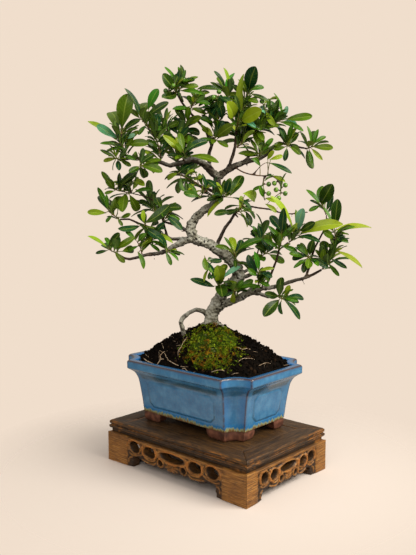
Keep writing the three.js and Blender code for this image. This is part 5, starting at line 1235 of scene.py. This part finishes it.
# Painted light: a pale tone in patches where the bark faces up; painted shade darkens where it faces down.
facing = add_node(tree, "NewGeometry").outputs["Normal"]
skyward = add_node(tree, "SeparateXYZ", {"Vector": facing}).outputs["Z"]
patch = add_node(tree, "TexNoise", {"Vector": where, "Scale": 75.0, "Detail": 4.0}).outputs["Fac"]
amount = add_node(tree, "MapRange", [skyward, -0.1, 0.8]).outputs[0]
second_amount = add_node(tree, "MapRange", [patch, 0.42, 0.58]).outputs[0]
painted_top_light = add_node(tree, "Math", {0: amount, 1: second_amount}, operation="MULTIPLY").outputs[0]
amount = add_node(tree, "MapRange", [painted_top_light, 0, 1, 0.0, 0.6]).outputs[0]
colour = add_node(tree, "Mix", {0: amount, 6: colour, 7: "#B8B6AB"}, data_type="RGBA").outputs[2]
shaded = add_node(tree, "MapRange", [skyward, 0.1, -0.7, 0.0, 0.75]).outputs[0]
colour = add_node(tree, "Mix", {0: shaded, 6: colour, 7: "#2A2018"}, data_type="RGBA").outputs[2]
amount = add_node(tree, "MapRange", [tint["Red"], 0.32, 0.05]).outputs[0]
colour = add_node(tree, "Mix", {0: amount, 6: colour, 7: young}, data_type="RGBA").outputs[2]
amount = add_node(tree, "MapRange", [fine, 0.6, 0.7, 0.0, 0.3]).outputs[0]
colour = add_node(tree, "Mix", {0: amount, 6: colour, 7: "#2A2118"}, data_type="RGBA").outputs[2]
colour = add_node(tree, "Mix", {0: tint["Green"], 6: colour, 7: "#1D150D"}, data_type="RGBA").outputs[2]
tree.links.new(colour, shader.inputs["Base Color"])
rough = add_node(tree, "Bump", {"Height": flakes, "Strength": 0.6, "Distance": 0.4 * MM})
tree.links.new(rough.outputs["Normal"], shader.inputs["Normal"])
bark.make("trunk_and_branches", [bark_skin], ["tree_wood"])
print("bark made")

# %% [markdown]
# ## Leaves, twigs and berries
# Firethorn leaves are thin, stiff and glossy, with a groove along the midrib and a paler underside. In each
# solid spray a leaf is a blade of a few three-cornered sections that ends in a point. These sections give
# its place, width and tilt, and a fine blade with a groove, an arch and a wavy margin is made from them.

# %% Read the leaves of a solid spray
WIDE_AT, SLIM_AT = (0.88, 0.62, 0.3), (0.74, 0.34)
ARCH = 0.28
WIDE_FROM, STALK_EDGE = 7.9, 1.3


def longest_edge(ring):
    """Width of a section in millimetres."""
    return max((a.co - b.co).length for a in ring for b in ring) / MM


def spans(ring):
    """The two margin points of a blade's section, and the underside of its midrib."""
    a, b, c = [np.array(v.co) / MM for v in ring]
    pairs = [(a, b, c), (b, c, a), (c, a, b)]
    return max(pairs, key=lambda p: np.linalg.norm(p[0] - p[1]))


def read_leaves(shape):
    """Sections of every leaf, followed from each pointed tip down to its twig."""
    found, used = [], set()
    for apex in shape.verts:
        ring = [e.other_vert(apex) for e in apex.link_edges]
        if len(ring) != 3 or apex in used:
            continue
        seen, sections = {apex, *ring}, [ring]
        while len(sections) < 5:
            step = {e.other_vert(v) for v in sections[-1] for e in v.link_edges} - seen
            if len(step) != 3:
                break
            sections.append(list(step))
            seen |= step
        if len(sections) < 3:
            continue
        shares = WIDE_AT if longest_edge(sections[1]) > WIDE_FROM else SLIM_AT
        blade = sections[:len(shares)]
        rest = sections[len(shares):]
        if len(blade) < len(shares) or not rest:
            continue
        stalk = len(rest) > 1 and longest_edge(rest[0]) < STALK_EDGE
        root = rest[1] if stalk else rest[0]
        gone = [apex, *[v for ring in blade for v in ring], *(rest[0] if stalk else [])]
        found.append((apex, shares, blade, root, gone))
        used.update(gone)
    return found


def measure(apex, shares, blade, root):
    """Base, tip, width and the two directions of a blade."""
    tip = np.array(apex.co) / MM
    parts = [spans(ring) for ring in blade]
    tops = [(a + b) / 2 - low for a, b, low in parts]
    top = sum(t / np.linalg.norm(t) for t in tops)
    top /= np.linalg.norm(top)
    widths = [np.linalg.norm(a - b) for a, b, _ in parts]
    width = widths[1] if len(parts) == 3 else sum(widths) / 1.7
    centres = [low + top * 0.65 for _, _, low in parts]
    share, centre = shares[-1], centres[-1]
    length = np.linalg.norm(tip - centre) / (1 - share)
    for _ in range(3):
        flat = centre - top * ARCH * length * share * (1 - share)
        length = np.linalg.norm(tip - flat) / (1 - share)
    along = (tip - flat) / np.linalg.norm(tip - flat)
    base = tip - along * length
    foot = sum(np.array(v.co) for v in root) / 3 / MM
    return dict(base=base, tip=tip, along=along, length=length, width=width, top=top, foot=foot)


# %% [markdown]
# A leaf is a stack of thin closed sections from stalk to tip, grooved above and ribbed below. Each leaf
# arches, droops, twists and waves a little in its own way, so that no two catch the light alike. Small
# leaves get fewer sections, because more would not show.

# %% Fine blade
BLADE_ACROSS = np.array([-1, -0.66, -0.33, -0.09, 0, 0.09, 0.33, 0.66, 1])
BLADE_ALONG = np.array([0.02, 0.11, 0.24, 0.38, 0.52, 0.65, 0.77, 0.87, 0.95, 0.99])
YOUNG_ACROSS = np.array([-1, -0.5, 0, 0.5, 1])
YOUNG_ALONG = np.array([0.03, 0.15, 0.34, 0.55, 0.75, 0.9, 0.985])


def blade_width(u, wide):
    """Share of the full width along a leaf: widest past its middle, with a rounded end."""
    middle, narrow, blunt = (0.62, 1.05, 0.56) if wide else (0.54, 0.85, 0.72)
    if u < middle:
        return math.sin(math.pi / 2 * u / middle) ** narrow
    return (1 - ((u - middle) / (1 - middle)) ** 2.5) ** blunt


def fine_blade(leaf, rng, young=False):
    """Points, faces, places on the leaf and underside flags of a thin closed blade."""
    v = YOUNG_ACROSS if young else BLADE_ACROSS
    rows_along = YOUNG_ALONG if young else BLADE_ALONG
    turns = 2 * len(v) - 2
    along, top, length = leaf["along"], leaf["top"], leaf["length"]
    top = top - along * top.dot(along)
    top /= np.linalg.norm(top)
    across = np.cross(along, top)
    half = leaf["width"] / 2
    wide = leaf["width"] / length > 0.3
    wave, phase, twist = rng.uniform(0.2, 1), rng.uniform(0, 6.3), rng.normal(0, 0.12)
    droop, fold = rng.uniform(0.0, 0.07), rng.uniform(0.1, 0.26)
    bow = rng.normal(0, 0.035)
    rows, places, flags = [], [], []
    for u in rows_along:
        turn = twist * (u - 0.4) * 2
        side = across * math.cos(turn) + top * math.sin(turn)
        rise = top * math.cos(turn) - across * math.sin(turn)
        reach = half * blade_width(u, wide)
        middle = (leaf["base"] + along * length * u + top * length * (ARCH * u * (1 - u) - droop * u ** 3)
                  + across * length * bow * 4 * u * (1 - u))
        lift = fold * reach * np.abs(v) ** 1.3
        lift = lift + 0.05 * half * wave * np.sin(9 * u + phase + 1.3 * np.sign(v)) * v ** 2
        lift = lift - 0.16 * np.exp(-(v * reach / 0.4) ** 2)
        upper = middle + side * (v * reach)[:, None] + rise * lift[:, None]
        inner = v[1:-1]
        deep = 0.12 + 0.14 * (1 - np.abs(inner)) + 0.28 * np.exp(-(inner * reach / 0.45) ** 2) * (1 - 0.6 * u)
        lower = (upper[1:-1] - rise * deep[:, None])[::-1]
        rows += [upper, lower]
        places.append(np.column_stack([np.full(turns, u), np.concatenate([v, inner[::-1]]), np.zeros(turns)]))
        flags.append(np.concatenate([np.zeros(len(v)), np.ones(len(inner))]))
    tip = leaf["base"] + along * length + top * length * -droop
    foot = leaf["base"]
    points = np.vstack(rows + [[foot], [tip]])
    places = np.vstack(places + [[[0, 0, 0], [1, 0, 0]]])
    flags = np.concatenate(flags + [[0, 0]])
    last = turns * len(rows_along)
    following = [(k, (k + 1) % turns) for k in range(turns)]
    faces = ring_faces(len(rows_along), turns)
    faces += [(b, a, last) for a, b in following]
    faces += [(last - turns + a, last - turns + b, last + 1) for a, b in following]
    return points, faces, places, flags


def stalk_of(leaf, steps=6, sides=6):
    """A slim curved stalk from the twig into the blade."""
    start, end = leaf["foot"], leaf["base"] + leaf["along"] * leaf["length"] * 0.16
    lift = leaf["top"] * leaf["length"] * ARCH * 0.16 * 0.84 - leaf["top"] * 0.25
    t = np.linspace(0, 1, steps)[:, None]
    bend = (leaf["base"] - (start + end) / 2) * 0.7
    line = start + (end + lift - start) * t + bend * (4 * t * (1 - t)) * 0.5
    return tube(line, np.linspace(0.5, 0.28, steps), sides)


print("a fine blade has", (2 * len(BLADE_ACROSS) - 2) * len(BLADE_ALONG) + 2, "points")

# %% [markdown]
# Each leaf's tone was noted from the picture: dark, olive, yellow-green, bright, plain, blue-green, light
# teal or pale teal. The blue-green and teal tones are painted reflection of the sky on glossy tops, and the
# yellow-green one is partly painted light shining through a leaf. The letters stand in the order in which
# the tips of a spray show from left to right.

# %% Leaf tones
# T, L and P paint the sky's reflection on a glossy top; Y is partly painted light shining through the leaf.
TONES = {"D": "#213C05", "O": "#4A6406", "Y": "#82961C", "B": "#3A801A", "G": "#38660C", "T": "#0C3C1E",
         "L": "#4A8C66", "P": "#70A480"}
LEAF_TONES = dict(
    arm_left_tip="DYTDO", arm_left_under="GDDDDO", back_left="OTTODDDTDDTT",
    back_low_left="TTTTDTTODDTT", back_low_right="DTDODDOTODDD", back_middle="DDTODDDDODOT",
    back_right="TTODTTDDTDDD", bend="OGYDDTDG", crown_heart="GYOO", crown_left="OOTTDOOTDO",
    crown_left_front="YTOTO", crown_middle="GBDTOD", crown_right="OYDTTYLYG", hanging="GGYYYYYT",
    left_inner="TGTYGOTGDY", left_riser="DGDTT", left_shoulder="OOTODTOODOY", left_tip="YGDGGOOOO",
    low_centre="TTYDYGP", low_front="TYGG", low_right="GBGOTY", low_right_under="DDDYGTT",
    low_right_upper="OTDTTDO", lower_left_inner="GGGGD", lower_left_mid="GGGGDY",
    lower_left_tip="YTGDDOOO", middle="TDYDTDT", middle_limb="DDGY", right_arm_end="OTDTGDOT",
    right_arm_front="OOG", right_arm_tip="TDGGGTYGO", right_heart="YDPODPDTY", right_middle="TGGDDDT",
    right_outer="OOODDDDGTGGYY", right_stem="GGTDTGG", right_top="OPTPOGGDDTPLGO",
    right_upper="GGDODDG", thin_left="YGYYYY", top_left="DDGGGDTOG", top_left_inner="GDOOOGT",
    top_middle="DTOOYDBO", top_right="OOTTOGD", upper_left="YLGGOTOTPDOTO",
    upper_left_inner="TODGDODBGTDD")
print("tones noted for", sum(len(v) for v in LEAF_TONES.values()), "leaves")

# %% [markdown]
# A firethorn leaf is dark and half glossy above, paler and dull below, with a yellowish rib, fine veins that
# slant forward and a thin pale margin. Shoots run from brown to green, and unripe berries are smooth green.

# %% Leaf, twig and berry materials
blade_skin, tree, shader = new_material("glossy firethorn leaf", Roughness=0.34, IOR=1.42, Coat_Weight=0.06,
                                        Coat_Roughness=0.12, Specular_IOR_Level=0.18)
base = add_node(tree, "Attribute", attribute_name="tint")
under = base.outputs["Alpha"]
spot_on = add_node(tree, "Attribute", attribute_name="place").outputs["Vector"]
axes = add_node(tree, "SeparateXYZ", {"Vector": spot_on}).outputs
sideways = add_node(tree, "Math", {0: axes["Y"]}, operation="ABSOLUTE").outputs[0]
rib = add_node(tree, "MapRange", [sideways, 0.11, 0.03]).outputs[0]
lean = add_node(tree, "Math", {0: sideways, 1: -0.22}, operation="MULTIPLY").outputs[0]
swept = add_node(tree, "Math", {0: axes["X"], 1: lean}, operation="ADD").outputs[0]
wave = add_node(tree, "Math", {0: swept, 1: 56.0}, operation="MULTIPLY").outputs[0]
veins = add_node(tree, "Math", {0: wave}, operation="SINE").outputs[0]
veins = add_node(tree, "MapRange", [veins, 0.72, 1.0]).outputs[0]
where = add_node(tree, "TexCoord").outputs["Object"]
cloud = add_node(tree, "TexNoise", {"Vector": where, "Scale": 130.0, "Detail": 3.0}).outputs["Fac"]
cells = add_node(tree, "TexNoise", {"Vector": where, "Scale": 1500.0, "Detail": 2.0}).outputs["Fac"]
amount = add_node(tree, "MapRange", [cloud, 0.5, 0.75, 0.0, 0.22]).outputs[0]
colour = add_node(tree, "Mix", {0: amount, 6: base.outputs["Color"], 7: "#6E8C1C"},
                  data_type="RGBA").outputs[2]
deep = add_node(tree, "Mix", {0: 0.35, 6: colour, 7: "#0F2208"},
                data_type="RGBA", blend_type="MULTIPLY").outputs[2]
amount = add_node(tree, "MapRange", [cloud, 0.5, 0.3, 0.0, 0.6]).outputs[0]
colour = add_node(tree, "Mix", {0: amount, 6: colour, 7: deep}, data_type="RGBA").outputs[2]
amount = add_node(tree, "MapRange", [veins, 0, 1, 0.0, 0.1]).outputs[0]
colour = add_node(tree, "Mix", {0: amount, 6: colour, 7: "#A4B84C"}, data_type="RGBA").outputs[2]
amount = add_node(tree, "MapRange", [rib, 0, 1, 0.0, 0.34]).outputs[0]
colour = add_node(tree, "Mix", {0: amount, 6: colour, 7: "#A9BC4C"}, data_type="RGBA").outputs[2]
amount = add_node(tree, "MapRange", [under, 0, 1, 0.0, 0.38]).outputs[0]
colour = add_node(tree, "Mix", {0: amount, 6: colour, 7: "#7E9C50"}, data_type="RGBA").outputs[2]
amount = add_node(tree, "MapRange", [sideways, 0.94, 1.0, 0.0, 0.2]).outputs[0]
colour = add_node(tree, "Mix", {0: amount, 6: colour, 7: "#A89A48"}, data_type="RGBA").outputs[2]
tree.links.new(colour, shader.inputs["Base Color"])
amount = add_node(tree, "MapRange", [under, 0, 1, 0.28, 0.6]).outputs[0]
tree.links.new(amount, shader.inputs["Roughness"])
amount = add_node(tree, "MapRange", [veins, 0, 1, 0.0, -0.5]).outputs[0]
height = add_node(tree, "Math", {0: amount, 1: cells}, operation="ADD").outputs[0]
relief = add_node(tree, "Bump", {"Height": height, "Strength": 0.35, "Distance": 0.12 * MM})
tree.links.new(relief.outputs["Normal"], shader.inputs["Normal"])

shoot_skin, tree, shader = new_material("young shoot bark", Roughness=0.6)
where = add_node(tree, "TexCoord").outputs["Object"]
grain = add_node(tree, "TexNoise", {"Vector": where, "Scale": 330.0, "Detail": 4.0}).outputs["Fac"]
tone = add_node(tree, "ValToRGB", [grain],
                stops=[(0.3, "#26170E"), (0.5, "#4A2F1A"), (0.7, "#7E5428")]).outputs[0]
green = tint_channels(tree)["Green"]
colour = add_node(tree, "Mix", {0: green, 6: tone, 7: "#7C8A34"}, data_type="RGBA").outputs[2]
tree.links.new(colour, shader.inputs["Base Color"])

berry_skin, tree, shader = new_material("unripe firethorn berry", Roughness=0.32, IOR=1.45, Coat_Weight=0.3)
tint = tint_channels(tree)
where = add_node(tree, "TexCoord").outputs["Object"]
cloud = add_node(tree, "TexNoise", {"Vector": where, "Scale": 260.0, "Detail": 3.0}).outputs["Fac"]
green = add_node(tree, "ValToRGB", [cloud],
                 stops=[(0.35, "#3C6414"), (0.5, "#5A8A22"), (0.7, "#84A83A")]).outputs[0]
colour = add_node(tree, "Mix", {0: tint["Red"], 6: green, 7: "#3A2A16"}, data_type="RGBA").outputs[2]
tree.links.new(colour, shader.inputs["Base Color"])

# %% [markdown]
# The solid's berries are recognised by the length of their edges and are made again as round ones with a
# small calyx. What is left of the spray is its twig, which one round of subdivision makes round.

# %% Berries and twigs of a spray
BERRY_RADIUS, BERRY_EDGE, BERRY_DEPTH = 2.7, 2.839, 2.146


def is_berry_face(face):
    """Only the berries of the solids have faces with this length of edge."""
    return all(abs(e.calc_length() / MM - BERRY_EDGE) < 0.02 for e in face.edges)


def read_berries(shape):
    """Centre and outward direction of each berry, and its faces."""
    groups = []
    for face in shape.faces:
        if is_berry_face(face):
            centre = np.array(face.calc_center_median() - face.normal * BERRY_DEPTH * MM) / MM
            for group in groups:
                if np.linalg.norm(group[0] - centre) < 0.5:
                    group[1].append(face)
                    break
            else:
                groups.append((centre, [face]))
    return [(c, sum(np.array(f.normal) for f in fs), fs) for c, fs in groups if len(fs) > 6]


AROUND, DOWN = 16, 12


def fine_berry(piece, centre, outward):
    """A round berry with a small five-lobed calyx at the end away from its stalk."""
    outward = outward / (np.linalg.norm(outward) + 1e-9)
    first = np.cross(outward, [0.5, 0.2, 0.84])
    first /= np.linalg.norm(first)
    second = np.cross(outward, first)
    rings, marks = [], []
    for polar in np.linspace(0.12, math.pi - 0.08, DOWN):
        radius = BERRY_RADIUS * (1 - 0.16 * math.exp(-(polar / 0.35) ** 2))
        for j in range(AROUND):
            turn = 2 * math.pi * j / AROUND
            lobe = 1 + 0.05 * math.cos(5 * turn) * math.exp(-(polar / 0.5) ** 2)
            rings.append(centre + radius * lobe * (math.cos(polar) * outward * 0.94 + math.sin(polar)
                         * (math.cos(turn) * first + math.sin(turn) * second)))
            marks.append(math.exp(-(polar / 0.3) ** 2))
    faces = [face[::-1] for face in ring_faces(DOWN, AROUND)]
    faces += [tuple(range(AROUND)), tuple(range(len(rings) - AROUND, len(rings)))[::-1]]
    piece.add(rings, faces, 2, np.column_stack([marks, np.zeros((len(rings), 3))]))
    for j in range(5):
        turn = 2 * math.pi * j / 5
        way = math.cos(turn) * first + math.sin(turn) * second
        base = centre + outward * BERRY_RADIUS * 0.8
        side = np.cross(way, outward) * 0.35
        points = [base + way * 0.45 + side, base + way * 0.45 - side, base + way * 0.2 - outward * 0.2,
                  base + way * 0.95 + outward * 0.55]
        piece.add(points, [(0, 1, 3), (1, 2, 3), (2, 0, 3), (0, 2, 1)], 2, (0.8, 0, 0, 0))


def twig_skin(shape, leaves, berries):
    """What is left of a spray without its leaves and berries, rounded."""
    gone = {v for *_, dead in leaves for v in dead}
    berry_faces = [f for *_, faces in berries for f in faces]
    bmesh.ops.delete(shape, geom=berry_faces, context="FACES_ONLY")
    bmesh.ops.delete(shape, geom=list(gone), context="VERTS")
    loose = [e for e in shape.edges if not e.link_faces]
    bmesh.ops.delete(shape, geom=loose, context="EDGES")
    bmesh.ops.holes_fill(shape, edges=[e for e in shape.edges if e.is_boundary], sides=12)
    bmesh.ops.recalc_face_normals(shape, faces=shape.faces)
    return refined(shape, ("SUBSURF", {"levels": 1, "render_levels": 1}))


print("berry edge of the solid:", BERRY_EDGE, "mm")

# %% [markdown]
# Each solid spray becomes one piece: its leaves with the tones noted for them, its stalks, berries and twig,
# and small young leaves between the large ones. Sprays near the edge of the crown get fewer of these.

# %% Make every spray
def shown(point):
    """Where a point shows in the photographed view, as across and height in mm at the tree."""
    offset = point - MIDDLE
    zoom = EYE_AWAY / (EYE_AWAY - offset.dot(TOWARD))
    return (EYE_ACROSS + (offset.dot(ACROSS) - EYE_ACROSS) * zoom,
            EYE_HEIGHT + (offset.dot(UP) - EYE_HEIGHT) * zoom)


# These young leaves' tones include the painted reflection (T) and the partly painted light through a leaf
# (Y).
YOUNG_TONES = "DDDOOGGTTY"
YOUNG_PER_MM2 = 0.22
YOUNG_LENGTHS = (9, 23)
FEW_YOUNG = dict(hanging=0.05, thin_left=0.4, crown_heart=0.6, low_front=0.9, middle_limb=0.8, low_centre=0.6,
                 left_tip=0.6, left_inner=0.6, left_riser=0.5, left_shoulder=0.6, lower_left_tip=0.5,
                 lower_left_mid=0.5, lower_left_inner=0.5)


def young_leaves(shape, leaves, berries, density, rng):
    """Small leaves between the large ones, which the solids leave out, set on the free bark of a twig."""
    gone = {v for *_, dead in leaves for v in dead}
    berry_faces = {f for *_, faces in berries for f in faces}
    bare = [f for f in shape.faces if f not in berry_faces and not gone.intersection(f.verts)]
    areas = np.array([f.calc_area() for f in bare]) / MM ** 2
    tips = [np.array(found[0].co) / MM for found in leaves]
    heart = sum(tips) / len(tips)
    out = []
    for index in rng.choice(len(bare), int(areas.sum() * density) + 1, p=areas / areas.sum()):
        face = bare[index]
        foot = np.array(face.calc_center_median()) / MM
        normal = np.array(face.normal)
        towards = (heart - foot) / (np.linalg.norm(heart - foot) + 1e-9)
        along = normal * 0.9 + towards * 0.8 + UP * 0.25 + rng.normal(0, 0.3, 3)
        along /= np.linalg.norm(along)
        length = rng.uniform(*YOUNG_LENGTHS)
        top = UP * 0.9 + TOWARD * 0.3 + rng.normal(0, 0.35, 3)
        top -= along * top.dot(along)
        top /= np.linalg.norm(top)
        base = foot + along * 1.6
        out.append(dict(base=base, tip=base + along * length, along=along, length=length,
                        width=length * rng.uniform(0.28, 0.42), top=top, foot=foot))
    return out


def leaf_tint(tone, flags, rng):
    """A leaf's own colour, varied a little from leaf to leaf."""
    colour = np.array(linear(TONES[tone])[:3]) * rng.uniform(0.85, 1.2) * (1 + rng.normal(0, 0.05, 3))
    return np.column_stack([np.tile(colour.clip(0.003, 0.9), (len(flags), 1)), flags])


spray_names = sorted(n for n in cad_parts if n.startswith("spray_"))
counts, young_count = {}, 0
for number, name in enumerate(spray_names):
    rng = np.random.default_rng(500 + number)
    shape = welded(name)
    leaves = read_leaves(shape)
    berries = read_berries(shape)
    blades = sorted((measure(*found[:4]) for found in leaves), key=lambda leaf: shown(leaf["tip"])[0])
    letters = LEAF_TONES[name[6:]]
    piece = Gather()
    for index, leaf in enumerate(blades):
        tone = letters[index] if index < len(letters) else rng.choice(list("DOGTDO"))
        points, faces, places, flags = fine_blade(leaf, rng)
        piece.add(points, faces, 0, leaf_tint(tone, flags, rng), places)
        points, faces = stalk_of(leaf)
        piece.add(points, faces, 1, (0, 0.5, 0, 0))
    young = young_leaves(shape, leaves, berries, YOUNG_PER_MM2 * FEW_YOUNG.get(name[6:], 1), rng)
    young_count += len(young)
    for leaf in young:
        points, faces, places, flags = fine_blade(leaf, rng, young=True)
        piece.add(points, faces, 0, leaf_tint(rng.choice(list(YOUNG_TONES)), flags, rng), places)
        points, faces = stalk_of(leaf, 4, 4)
        piece.add(points, faces, 1, (0, 0.8, 0, 0))
    for centre, outward, _ in berries:
        fine_berry(piece, centre, outward)
    counts[name] = (len(blades), len(berries))
    twig = twig_skin(shape, leaves, berries)
    points, faces = shape_arrays(twig)
    piece.add(points, faces, 1, (0, 0, 0, 0))
    piece.make("leafy_" + name, [blade_skin, shoot_skin, berry_skin], [name], angle=70)
print("leaves:", sum(a for a, _ in counts.values()), "berries:", sum(b for _, b in counts.values()))
print("young leaves:", young_count, "by spray:", counts)
